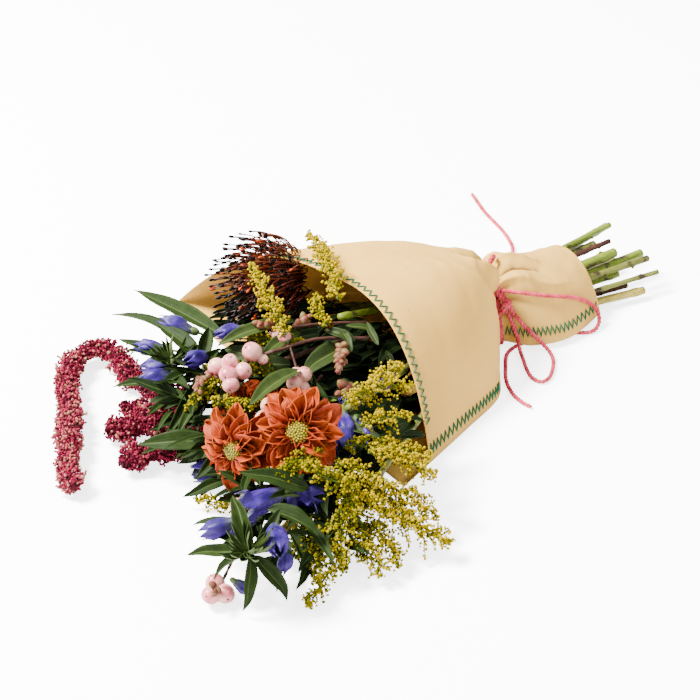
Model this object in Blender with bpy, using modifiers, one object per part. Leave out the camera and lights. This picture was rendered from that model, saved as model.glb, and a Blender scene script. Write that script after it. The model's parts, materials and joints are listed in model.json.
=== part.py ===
"""A mixed flower bouquet in a sewn kraft paper sleeve, tied with twine, lying on a table.

Units are metres and +Z is up, with the table at z = 0. +X runs from the blooms to the cut ends
of the stems, and the sewn edge of the sleeve is on the -Y side. The origin lies on the table
under the middle of the bouquet. Places in the tables below are in millimetres, which mm() turns
into metres.
"""

import math

import bmesh
import bpy
from mathutils import Vector

GAP = 0.0003  # between solids that touch in the real bouquet
PAPER_THICKNESS = 0.0005
THREAD_RADIUS = 0.0005
TWINE_RADIUS = 0.0017


def mm(*point):
    return Vector(point) * 0.001


# ---------------------------------------------------------------- scene and helpers

for old in list(bpy.data.objects):
    bpy.data.objects.remove(old)

BOUQUET = bpy.data.collections.new("mixed_flower_bouquet")
bpy.context.scene.collection.children.link(BOUQUET)


def material(name, colour, roughness=0.7):
    made = bpy.data.materials.new(name)
    made.use_nodes = True
    shader = made.node_tree.nodes["Principled BSDF"]
    shader.inputs["Base Color"].default_value = (*colour, 1)
    shader.inputs["Roughness"].default_value = roughness
    shader.inputs["Metallic"].default_value = 0
    return made


KRAFT = material("kraft_paper", (0.72, 0.52, 0.33), 0.8)
THREAD = material("green_thread", (0.01, 0.25, 0.12), 0.6)
TWINE = material("pink_twine", (0.78, 0.22, 0.28), 0.9)
STEM = material("green_stem", (0.24, 0.32, 0.07), 0.6)
TWIG = material("brown_twig", (0.11, 0.06, 0.04), 0.8)
STRAW = material("pale_stem", (0.55, 0.47, 0.2), 0.7)
LEAF = material("green_leaf", (0.04, 0.11, 0.03), 0.5)
DAHLIA = material("orange_petal", (0.75, 0.17, 0.04), 0.6)
PROTEA = material("dark_style", (0.1, 0.02, 0.015), 0.5)
GENTIAN = material("blue_petal", (0.09, 0.07, 0.42), 0.5)
SNOWBERRY = material("pink_berry", (0.85, 0.5, 0.45), 0.45)
GOLDENROD = material("yellow_floret", (0.62, 0.5, 0.03), 0.8)
AMARANTH = material("crimson_tassel", (0.4, 0.04, 0.08), 0.9)


def add(name, data, finish):
    """Puts a mesh or curve in the bouquet as one named object with one material."""
    made = bpy.data.objects.new(name, data)
    BOUQUET.objects.link(made)
    data.materials.append(finish)
    return made


def add_bmesh(name, bm, finish):
    mesh = bpy.data.meshes.new(name)
    bm.to_mesh(mesh)
    bm.free()
    mesh.shade_smooth()
    return add(name, mesh, finish)


def route_through(points, spans=4, cyclic=False):
    """Points along a Catmull-Rom curve through the given points, spans to each stretch."""
    count = len(points)
    found = []
    for i in range(count if cyclic else count - 1):
        if cyclic:
            a, b, c, d = (points[(i + k) % count] for k in (-1, 0, 1, 2))
        else:
            b, c = points[i], points[i + 1]
            a = points[i - 1] if i else b * 2 - c
            d = points[i + 2] if i + 2 < count else c * 2 - b
        for k in range(spans):
            t = k / spans
            found.append(
                0.5
                * (
                    2 * b
                    + (c - a) * t
                    + (2 * a - 5 * b + 4 * c - d) * t**2
                    + (3 * b - 3 * c + d - a) * t**3
                )
            )
    return found if cyclic else found + [points[-1]]


def tube(name, points, radius, finish, sides=8, radii=None, cyclic=False):
    """A round bar along the points. radii scales the radius at each of them."""
    curve = bpy.data.curves.new(name, "CURVE")
    curve.dimensions = "3D"
    curve.bevel_depth = radius
    curve.bevel_resolution = {4: 0, 6: 1, 8: 2}[sides]
    curve.use_fill_caps = True
    spline = curve.splines.new("POLY")
    spline.points.add(len(points) - 1)
    for i, (place, bent) in enumerate(zip(spline.points, points)):
        place.co = (*bent, 1)
        place.radius = radii[i] if radii else 1.0
    spline.use_cyclic_u = cyclic
    return add(name, curve, finish)


def closed_mesh(obj):
    """Replaces a curve, or an object with modifiers, by its welded mesh, and returns the new object."""
    graph = bpy.context.evaluated_depsgraph_get()
    mesh = bpy.data.meshes.new_from_object(obj.evaluated_get(graph))
    bm = bmesh.new()
    bm.from_mesh(mesh)
    bmesh.ops.remove_doubles(bm, verts=bm.verts, dist=1e-6)
    bm.to_mesh(mesh)
    bm.free()
    name, place = obj.name, obj.matrix_world.copy()
    bpy.data.objects.remove(obj)
    made = bpy.data.objects.new(name, mesh)
    BOUQUET.objects.link(made)
    made.matrix_world = place
    return made


def union(name, pieces):
    """One closed body made of overlapping pieces, which are used up."""
    bpy.context.view_layer.update()
    base = closed_mesh(pieces[0])
    others = [closed_mesh(piece) for piece in pieces[1:]]
    for other in others:
        joined = base.modifiers.new("join", "BOOLEAN")
        joined.operation = "UNION"
        joined.object = other
    bpy.context.view_layer.update()
    base = closed_mesh(base)
    for other in others:
        bpy.data.objects.remove(other)
    base.name = name
    return base


def turned_towards(points, place, direction):
    """Moves points made about the origin, facing +Z, so that they stand at place and face direction."""
    turn = direction.to_track_quat("Z", "Y").to_matrix()
    return [place + turn @ p for p in points]


# ---------------------------------------------------------------- kraft paper sleeve
# A sheet folded in two along its far edge and sewn along its near edge. The lower layer lies on
# the table, the upper one arches over the flowers. The twine gathers it at the waist.

# From the mouth to the narrow end: near edge, far edge, height of the arch, where it is highest
# as a share of the way from near to far, and how far it leans to +X for each unit of height.
# Lengths are in mm.
SLEEVE_STATIONS = [
    ((-30, -97, 1), (-91, 210, 14), 106, 0.43, 0.25),
    ((22, -76, 1), (-22, 178, 14), 108, 0.43, 0.17),
    ((70, -55, 1), (50, 138, 13), 100, 0.44, 0.1),
    ((92, -28, 3), (98, 92, 12), 80, 0.48, 0.14),
    ((117, 7, 6.2), (132, 61, 12), 55, 0.5, 0),
    ((139, -13, 6.2), (155, 82, 13), 66, 0.55, 0),
    ((175, -21, 6.2), (184, 86, 14), 56, 0.56, 0),
    ((222, -5, 6.2), (212, 78, 16), 53, 0.58, 0),
]
LOWER_LAYER_TONGUE = 37  # mm that the lower layer reaches past the upper one at the sewn edge
WAIST_STATION = 4
LAST_STATION = len(SLEEVE_STATIONS) - 1
BOTTOM_COLUMNS, TOP_COLUMNS, SLEEVE_ROWS = 12, 22, 21


def station_at(s):
    """Near edge, far edge, height, ridge and lean at s, counted in stations from the mouth."""
    i = min(int(s), LAST_STATION - 1)
    rows = [SLEEVE_STATIONS[min(max(i + k, 0), LAST_STATION)] for k in (-1, 0, 1, 2)]
    t = s - i
    weights = (
        (-t + 2 * t**2 - t**3) / 2,
        (2 - 5 * t**2 + 3 * t**3) / 2,
        (t + 4 * t**2 - 3 * t**3) / 2,
        (t**3 - t**2) / 2,
    )
    near = sum((mm(*row[0]) * w for row, w in zip(rows, weights)), Vector())
    far = sum((mm(*row[1]) * w for row, w in zip(rows, weights)), Vector())
    height = sum(row[2] * w for row, w in zip(rows, weights)) * 0.001
    ridge = sum(row[3] * w for row, w in zip(rows, weights))
    lean = sum(row[4] * w for row, w in zip(rows, weights))
    return near, far, height, ridge, lean


def arch(share, ridge):
    """Height of the arch's outline, 0 to 1, at a share of the way from near to far."""
    climb = share / ridge if share < ridge else (1 - share) / (1 - ridge)
    return 1 - (1 - min(max(climb, 0.0), 1.0)) ** 2.6


def upper_point(s, share):
    """A point of the upper layer's outer face: s along the sleeve, share from near to far."""
    near, far, height, ridge, lean = station_at(s)
    flat = near.lerp(far, share)
    rise = (height - flat.z) * arch(share, ridge)
    return flat + Vector((lean * rise, 0, rise))


def lower_point(s, share):
    """A point of the lower layer's outer face. It lies on the table as far as the waist."""
    near, far, _, _, _ = station_at(s)
    along = (station_at(0)[0] - station_at(0.5)[0]).normalized()
    tongue = along * LOWER_LAYER_TONGUE * 0.001 * max(0.0, 1 - s) * (1 - share)
    bed = max(0.0, near.z - 0.001)
    curl = max(0.0, (share - 0.8) / 0.2) ** 2
    flat = near.lerp(far, share) + tongue
    return Vector((flat.x, flat.y, bed + (far.z - bed) * curl * 0.8))


def sleeve():
    """The paper as a tube of two layers, open at both ends, from a grid rolled into shape."""
    columns = BOTTOM_COLUMNS + TOP_COLUMNS
    bm = bmesh.new()
    bmesh.ops.create_grid(bm, x_segments=SLEEVE_ROWS, y_segments=columns, size=1)
    for vertex in bm.verts:
        s = (vertex.co.x + 1) / 2 * LAST_STATION
        column = round((vertex.co.y + 1) / 2 * columns)
        if column in (0, columns):
            vertex.co = lower_point(s, 0)
        elif column <= BOTTOM_COLUMNS:
            vertex.co = lower_point(s, column / BOTTOM_COLUMNS)
        else:
            angle = (column - BOTTOM_COLUMNS) / TOP_COLUMNS * math.pi
            vertex.co = upper_point(s, (1 + math.cos(angle)) / 2)
    bmesh.ops.remove_doubles(bm, verts=bm.verts, dist=1e-5)
    bmesh.ops.recalc_face_normals(bm, faces=bm.faces)
    made = add_bmesh("paper_sleeve", bm, KRAFT)
    wall = made.modifiers.new("paper", "SOLIDIFY")
    wall.thickness = PAPER_THICKNESS
    wall.offset = -1
    return made


def on_paper(s, share, height):
    """A point at this height above the upper layer's outer face."""
    step = 0.01
    along = upper_point(s + step, share) - upper_point(s - step, share)
    across = upper_point(s, share + step) - upper_point(s, share - step)
    return upper_point(s, share) + along.cross(across).normalized() * height


STITCH_HEIGHT = THREAD_RADIUS + 0.0006  # clear of the flat facets of the paper
STITCH_LENGTH = 0.0062
MOUTH_STITCH = (0.14, 0.065)  # distance from the mouth and half width, in stations
WIDE_SEAM_STITCH = (0.0135, 0.006)  # share of the way from near to far, and half width
NECK_SEAM_STITCH = (0.04, 0.016)


def mouth_stitching():
    """Zigzag thread along the mouth of the upper layer."""
    place, half = MOUTH_STITCH
    first, last, steps = 0.05, 0.93, 108
    points = [
        on_paper(
            place + half * (-1) ** i, first + (last - first) * i / steps, STITCH_HEIGHT
        )
        for i in range(steps + 1)
    ]
    return tube("mouth_stitching", points, THREAD_RADIUS, THREAD, sides=4)


def seam_stitching(name, first, last, steps, place):
    """Zigzag thread along the sewn near edge, between two stations."""
    share, half = place
    points = [
        on_paper(
            first + (last - first) * i / steps, share + half * (-1) ** i, STITCH_HEIGHT
        )
        for i in range(steps + 1)
    ]
    return tube(name, points, THREAD_RADIUS, THREAD, sides=4)


# ---------------------------------------------------------------- stems
# Twelve stems pass the waist side by side and fan out at both ends.

# Radius, cut end, place in the waist's bundle (y, z), and the end behind the bloom, in mm.
STEMS = {
    "gentian_stem_lower": (3.8, (277, 0, 8.5), (20, 12), (-205, -138, 24), STRAW),
    "snowberry_stem_lower": (3.2, (268, 14, 10), (29, 12), (-180, -84, 22), TWIG),
    "dahlia_stem_back": (3.4, (272, 31, 12), (38.5, 12), (-132, -16, 30), STEM),
    "amaranth_stem": (3.8, (284, 50, 12), (49, 12), (-140, 40, 14), STRAW),
    "goldenrod_stem_lower": (2.4, (296, 4, 20), (15, 22), (-116, -138, 38), STEM),
    "dahlia_stem_left": (4.4, (300, 33, 24), (29, 22), (-168, -62, 48), STEM),
    "gentian_stem_upper": (3.6, (295, 78, 33), (53.6, 19.6), (-146, 66, 42), STEM),
    "goldenrod_stem_middle": (3.2, (296, 19, 27), (19.5, 31), (-100, -82, 72), STEM),
    "dahlia_stem_right": (4.6, (270, 36, 33), (31, 32.5), (-140, -90, 66), STEM),
    "protea_stem": (4.6, (264, 58, 32), (48, 30), (-40, 84, 52), STEM),
    "snowberry_stem_upper": (2.4, (268, 42, 43), (38, 39), (-124, 0, 74), TWIG),
    "goldenrod_stem_upper": (3.0, (288, 66, 42), (45.5, 38.8), (-52, 6, 92), STEM),
}
WAIST_X = 121
BUNDLE_HALF_LENGTH = 12  # mm either side of the waist where the stems run side by side


def corners_cut(points, times=2):
    """The points with each bend between them cut off, more finely each time."""
    for _ in range(times):
        cut = [points[0]]
        for a, b in zip(points, points[1:]):
            cut += [a.lerp(b, 0.25), a.lerp(b, 0.75)]
        points = cut + [points[-1]]
    return points


def stem(name, radius, cut_end, slot, bloom_end, finish):
    before = (WAIST_X - BUNDLE_HALF_LENGTH, *slot)
    after = (WAIST_X + BUNDLE_HALF_LENGTH, *slot)
    points = [mm(*cut_end), mm(*after), mm(*before), mm(*bloom_end)]
    return tube(name, corners_cut(points), radius * 0.001, finish)


# ---------------------------------------------------------------- blooms


def petalled_disc(name, place, facing, radius, petals, depth, finish):
    """A dahlia bloom: a cupped disc whose rim is scalloped into petals."""
    bm = bmesh.new()
    bmesh.ops.create_uvsphere(bm, u_segments=petals * 3, v_segments=7, radius=1)
    shaped = []
    for vertex in bm.verts:
        across = math.hypot(vertex.co.x, vertex.co.y)
        angle = math.atan2(vertex.co.y, vertex.co.x)
        scallop = 1 - 0.16 * across**4 * (0.5 - 0.5 * math.cos(petals * angle))
        cup = 0.25 * across**2
        shaped.append(
            Vector(
                (
                    vertex.co.x * radius * scallop,
                    vertex.co.y * radius * scallop,
                    vertex.co.z * depth + cup * radius,
                )
            )
        )
    for vertex, moved in zip(bm.verts, turned_towards(shaped, place, facing)):
        vertex.co = moved
    return add_bmesh(name, bm, finish)


def pincushion(name, place, facing, radius, depth):
    """A pincushion head: a dome of styles that stand out all round."""
    bm = bmesh.new()
    bmesh.ops.create_uvsphere(bm, u_segments=24, v_segments=10, radius=1)
    shaped = []
    for vertex in bm.verts:
        angle = math.atan2(vertex.co.y, vertex.co.x)
        ripple = 1 + 0.06 * math.cos(12 * angle) * (1 - vertex.co.z**2)
        shaped.append(
            Vector(
                (
                    vertex.co.x * radius * ripple,
                    vertex.co.y * radius * ripple,
                    vertex.co.z * depth,
                )
            )
        )
    for vertex, moved in zip(bm.verts, turned_towards(shaped, place, facing)):
        vertex.co = moved
    return add_bmesh(name, bm, PROTEA)


BELL_PROFILE = ((0, 0), (2.6, 1), (3.6, 10), (7.2, 24), (6.6, 32), (3.4, 37), (0, 38))


def bell(name, place, facing, scale=1.0):
    """A gentian bell, nearly closed: its outline is turned about its axis."""
    curve = bpy.data.meshes.new(name)
    curve.from_pydata(
        [(r * 0.001 * scale, 0, z * 0.001 * scale) for r, z in reversed(BELL_PROFILE)],
        [(i, i + 1) for i in range(len(BELL_PROFILE) - 1)],
        [],
    )
    made = add(name, curve, GENTIAN)
    turn = made.modifiers.new("turn", "SCREW")
    turn.steps = turn.render_steps = 10
    turn.use_merge_vertices = True
    turn.merge_threshold = 0.00005
    made.location = place
    made.rotation_mode = "QUATERNION"
    made.rotation_quaternion = facing.to_track_quat("Z", "Y")
    return made


LEAF_THICKNESS = 0.0008


def leaf(name, root, tip, width, up=Vector((0, 0, 1)), arching=0.12, finish=LEAF):
    """A pointed leaf blade from root to tip, arched away from its up side."""
    run = tip - root
    side = run.cross(up).normalized()
    rise = side.cross(run).normalized()
    bm = bmesh.new()
    bmesh.ops.create_grid(bm, x_segments=7, y_segments=2, size=1)
    for vertex in bm.verts:
        along = (vertex.co.x + 1) / 2
        half = width / 2 * (0.12 + 0.88 * math.sin(math.pi * along**0.75) ** 0.8)
        half *= 1 if along < 0.999 else 0.3
        fold = 0.25 * abs(vertex.co.y) * half
        bow = arching * run.length * math.sin(math.pi * along)
        vertex.co = (
            root + run * along + side * (vertex.co.y * half) + rise * (bow + fold)
        )
    made = add_bmesh(name, bm, finish)
    wall = made.modifiers.new("blade", "SOLIDIFY")
    wall.thickness = LEAF_THICKNESS
    wall.offset = 0
    return made


def whorl(name, centre, tips, width):
    """The leafy top of a gentian stem: pointed leaves and a bud that spring from one place."""
    middle = sum(tips, Vector()) / len(tips)
    out = (middle - centre).normalized()
    bud = bpy.data.meshes.new(name + "_bud")
    bm = bmesh.new()
    bmesh.ops.create_uvsphere(bm, u_segments=8, v_segments=6, radius=1)
    shaped = [Vector((v.co.x * 7, v.co.y * 7, v.co.z * 15 + 4)) * 0.001 for v in bm.verts]
    for vertex, moved in zip(bm.verts, turned_towards(shaped, centre, out)):
        vertex.co = moved
    bm.to_mesh(bud)
    bm.free()
    blades = [
        leaf(f"{name}_{i}", centre + (tip - centre).normalized() * 0.003, tip, width)
        for i, tip in enumerate(tips)
    ]
    return union(name, [add(name + "_bud", bud, LEAF), *blades])


def berry_cluster(name, berries, finish=SNOWBERRY):
    """Snowberries that touch, as one body. Each berry is its centre and radius in mm."""
    pieces = []
    for i, (x, y, z, radius) in enumerate(berries):
        bm = bmesh.new()
        bmesh.ops.create_icosphere(bm, subdivisions=2, radius=radius * 0.001)
        bmesh.ops.translate(bm, verts=bm.verts, vec=mm(x, y, z))
        pieces.append(add_bmesh(f"{name}_{i}", bm, finish))
    return union(name, pieces)


def plume(name, points, thickness, finish, wobble=0.16, spans=3):
    """A spray of florets or a tassel: a lumpy tapering bar through the points."""
    line = route_through([mm(*p) for p in points], spans)
    last = len(line) - 1
    radii = []
    for i in range(last + 1):
        along = i / last
        taper = min(1.0, 0.45 + 2.2 * along, 0.35 + 2.0 * (1 - along))
        radii.append(taper * (1 + wobble * (-1) ** i))
    return tube(name, line, thickness * 0.001, finish, radii=radii)


# Centre, the way it faces, radius, petals and half depth, in mm.
DAHLIAS = {
    "dahlia_right": ((-155, -100, 84), (-0.5, -0.62, 0.6), 32, 16, 11),
    "dahlia_left": ((-192, -66, 56), (-0.88, -0.42, 0.22), 30, 15, 11),
    "dahlia_back": ((-146, -6, 46), (-0.5, -0.1, 0.85), 25, 14, 8),
}

# Mouth end and stalk end of each gentian bell, in mm, and its size against the outline.
BELLS = {
    "gentian_bell_upper_far": ((-158, 116, 68), (-136, 92, 60), 0.85),
    "gentian_bell_upper_near": ((-170, 50, 66), (-144, 58, 60), 0.8),
    "gentian_bell_upper_tip": ((-198, 82, 38), (-170, 71, 44), 0.85),
    "gentian_bell_lower_far": ((-216, -118, 50), (-184, -124, 54), 1.0),
    "gentian_bell_lower_left": ((-254, -125, 47), (-230, -136, 56), 0.8),
    "gentian_bell_lower_near": ((-222, -182, 54), (-208, -152, 54), 0.95),
    "gentian_bell_left": ((-206, -23, 16), (-172, -34, 18), 0.95),
    "gentian_bell_middle": ((-176, -143, 44), (-166, -114, 40), 1.0),
    "gentian_bell_right": ((-122, -112, 58), (-104, -86, 60), 0.9),
}

# Where the leaves spring from, and their tips, in mm.
WHORLS = {
    "gentian_leaves_upper": (
        (-158, 84, 50),
        (
            (-139, 199, 44),
            (-171, 178, 42),
            (-184, 136, 44),
            (-214, 98, 32),
            (-189, 52, 34),
            (-176, 108, 72),
        ),
        17,
    ),
    "gentian_leaves_lower": (
        (-230, -158, 38),
        (
            (-242, -98, 28),
            (-217, -117, 64),
            (-263, -119, 24),
            (-250, -176, 5),
            (-216, -184, 9),
            (-181, -168, 36),
            (-262, -160, 24),
        ),
        14,
    ),
}

# Root, tip and width of the broad leaves between the blooms, in mm.
LEAVES = {
    "leaf_veined": ((-186, -18, 36), (-234, 14, 31), 22),
    "leaf_berries": ((-100, 16, 60), (-132, 52, 64), 24),
    "leaf_dahlia": ((-168, -134, 58), (-214, -112, 80), 18),
}

# Centre and radius of each berry, in mm. Those of a cluster overlap a little.
BERRIES = {
    "snowberries_top": (
        (-162, 11, 82, 7.2),
        (-154, 4, 86, 7.2),
        (-148, -6, 82, 7.0),
        (-160, -4, 82, 7.4),
        (-162, -11, 77, 6.8),
    ),
    "snowberry_single": ((-134, 3, 90, 8.0), (-128, -3, 84, 4.5)),
    "snowberries_far": ((-101, 10, 88, 6.6), (-102, 20, 84, 6.2), (-94, 15, 81, 6.6)),
    "snowberries_centre": (
        (-109, -34, 80, 6.6),
        (-120, -38, 78, 6.4),
        (-111, -26, 77, 5.6),
        (-114, -40, 72, 6.2),
    ),
    "snowberries_between": (
        (-150, -50, 76, 7.2),
        (-160, -58, 72, 7.2),
        (-150, -57, 70, 6.6),
    ),
    "snowberries_left": (
        (-203, -88, 26, 6.4),
        (-196, -94, 30, 6.8),
        (-206, -97, 26, 6.4),
        (-190, -97, 26, 6.4),
    ),
    "snowberries_low": (
        (-261, -149, 10, 7.0),
        (-253, -142, 12, 7.4),
        (-251, -152, 9, 7.2),
    ),
}

# Points along each goldenrod spray from its tip, and its radius, in mm.
SPRAYS = {
    "goldenrod_tall": (((-25, 94, 119), (-37, 44, 120), (-52, 4, 110)), 6.5),
    "goldenrod_far": (((-89, 80, 116), (-98, 40, 110), (-106, -2, 99)), 6.5),
    "goldenrod_behind": (((-190, 13, 50), (-172, 14, 60), (-132, 26, 68)), 7.5),
    "goldenrod_inner": (((-42, -87, 76), (-72, -84, 84), (-108, -92, 88)), 10),
    "goldenrod_near": (((-70, -158, 46), (-88, -142, 56), (-112, -130, 66)), 12),
    "goldenrod_edge": (((-86, -201, 15), (-102, -182, 24), (-120, -164, 38)), 13),
    "goldenrod_front": (((-172, -137, 84), (-158, -148, 72), (-136, -152, 60)), 10),
    "goldenrod_low": (((-146, -200, 11), (-142, -186, 18), (-142, -168, 28)), 10),
    "goldenrod_lowest": (((-208, -198, 8), (-196, -190, 12), (-172, -176, 18)), 8),
    "goldenrod_left": (((-216, -46, 10), (-202, -60, 10), (-180, -72, 12)), 7),
}

# Points along each amaranth tassel from its hanging end, and its radius, in mm.
TASSELS = {
    "amaranth_long": (
        (
            (-291, 16, 13),
            (-285, 38, 13.5),
            (-268, 72, 14),
            (-248, 110, 13.5),
            (-235, 144, 13),
            (-221, 166, 13),
            (-204, 180, 13),
            (-187, 178, 13.5),
            (-179, 160, 13.5),
            (-183, 136, 14),
            (-182, 114, 14.5),
            (-170, 86, 14.5),
            (-144, 62, 14.5),
        ),
        10.5,
    ),
    "amaranth_middle": (((-236, 68, 13), (-210, 60, 12.5), (-172, 42, 13)), 10.5),
    "amaranth_near": (((-246, 22, 14), (-222, 24, 13), (-184, 8, 13)), 11),
    "amaranth_short": (((-211, 92, 12), (-198, 84, 11), (-186, 68, 11)), 8),
}


# ---------------------------------------------------------------- twine
# Two turns hold the sleeve's waist. The bow has one loop, and both ends are cut.

TWINE_ROUTES = {
    "twine_loop_front": (
        (125.4, 9, 34.2),
        (126.6, 4.5, 29),
        (126.8, -0.8, 21.5),
        (127.5, -6, 13),
        (126, -12, 4.5),
        (122, -22, 2.4),
        (115, -36, 2.4),
        (111, -49, 2.4),
        (114, -58, 2.4),
        (123, -57, 2.4),
        (133, -49, 2.4),
        (142, -39, 2.4),
        (147, -28, 3.5),
        (143, -19, 11),
        (137, -11, 19.5),
        (132, -4, 27),
        (129, 3, 33),
    ),
    "twine_end_front": (
        (124.6, 18, 49.8),
        (128, 16.1, 50.4),
        (132.7, 10.8, 50.6),
        (138.6, 5.6, 50.2),
        (147.6, 1.4, 48),
        (158.4, -2, 44.6),
        (171.4, -4.4, 40.6),
        (184.4, -5.6, 36),
        (195.8, -6.4, 30.4),
        (205.1, -7.2, 24),
        (213, -9, 15.6),
        (213, -14.5, 8),
        (207, -19, 3.2),
        (198, -20.5, 2.3),
        (188, -15, 2.2),
        (172, -6, 2.2),
        (150, -2, 2.2),
        (131, -2, 2.2),
        (115, -8, 2.2),
        (102, -23, 2.2),
        (90, -40, 2.2),
        (83, -58, 2.2),
        (82, -71, 2.2),
        (84, -82, 2.2),
    ),
    "twine_end_back": (
        (138, 61.5, 34),
        (143, 72, 27),
        (152, 86, 18),
        (166, 92, 10),
        (185, 96, 5),
        (205, 108, 2.6),
        (227, 131, 2.2),
        (236, 150, 2.2),
        (242, 171, 2.2),
        (248, 204, 2.2),
        (259, 241, 2.2),
    ),
}


def twine_band():
    """The twine's turn round the waist, pulled tight on the paper."""
    clear = TWINE_RADIUS + GAP + 0.0006
    s = WAIST_STATION
    points = []
    for i in range(17):
        share = (1 - math.cos(math.pi * (i + 0.5) / 17)) / 2
        points.append(on_paper(s, share, clear))
    far_corner = lower_point(s, 1)
    points.append(far_corner + Vector((0, clear, -0.5 * clear)))
    for i in range(7):
        points.append(lower_point(s, 0.94 - 0.9 * i / 6) - Vector((0, 0, clear)))
    near_corner = lower_point(s, 0)
    points.append(near_corner + Vector((0, -clear, -0.3 * clear)))
    return tube("twine_band", points, TWINE_RADIUS, TWINE, cyclic=True)


def twine_knot():
    bm = bmesh.new()
    bmesh.ops.create_uvsphere(bm, u_segments=12, v_segments=8, radius=1)
    bmesh.ops.scale(bm, verts=bm.verts, vec=Vector((0.0038, 0.0038, 0.0048)))
    bmesh.ops.translate(bm, verts=bm.verts, vec=mm(125.5, 8.4, 43.2))
    return add_bmesh("twine_knot", bm, TWINE)


def build():
    sleeve()
    mouth_stitching()
    seam_stitching("seam_stitching_wide", 0.06, 2.1, 48, WIDE_SEAM_STITCH)
    seam_stitching("seam_stitching_neck", 4.35, 6.9, 40, NECK_SEAM_STITCH)
    for name, (radius, cut_end, slot, bloom_end, finish) in STEMS.items():
        stem(name, radius, cut_end, slot, bloom_end, finish)
    pincushion("protea_head", mm(-86, 100, 66), Vector((-0.6, 0.1, 0.75)), 0.041, 0.03)
    for name, (place, facing, radius, petals, depth) in DAHLIAS.items():
        centre, towards = mm(*place), Vector(facing)
        size, half_depth = radius * 0.001, depth * 0.001
        petalled_disc(name, centre, towards, size, petals, half_depth, DAHLIA)
    for name, (mouth, stalk, size) in BELLS.items():
        facing = mm(*mouth) - mm(*stalk)
        bell(name, mm(*stalk), facing, size)
    for name, (centre, tips, width) in WHORLS.items():
        whorl(name, mm(*centre), [mm(*tip) for tip in tips], width * 0.001)
    for name, (root, tip, width) in LEAVES.items():
        leaf(name, mm(*root), mm(*tip), width * 0.001)
    for name, berries in BERRIES.items():
        berry_cluster(name, berries)
    for name, (points, radius) in SPRAYS.items():
        plume(name, points, radius, GOLDENROD)
    for name, (points, radius) in TASSELS.items():
        plume(name, points, radius, AMARANTH, wobble=0.1)
    twine_band()
    twine_knot()
    for name, points in TWINE_ROUTES.items():
        tube(name, route_through([mm(*p) for p in points], 3), TWINE_RADIUS, TWINE)


build()
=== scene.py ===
import json
import math
import random

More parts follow.
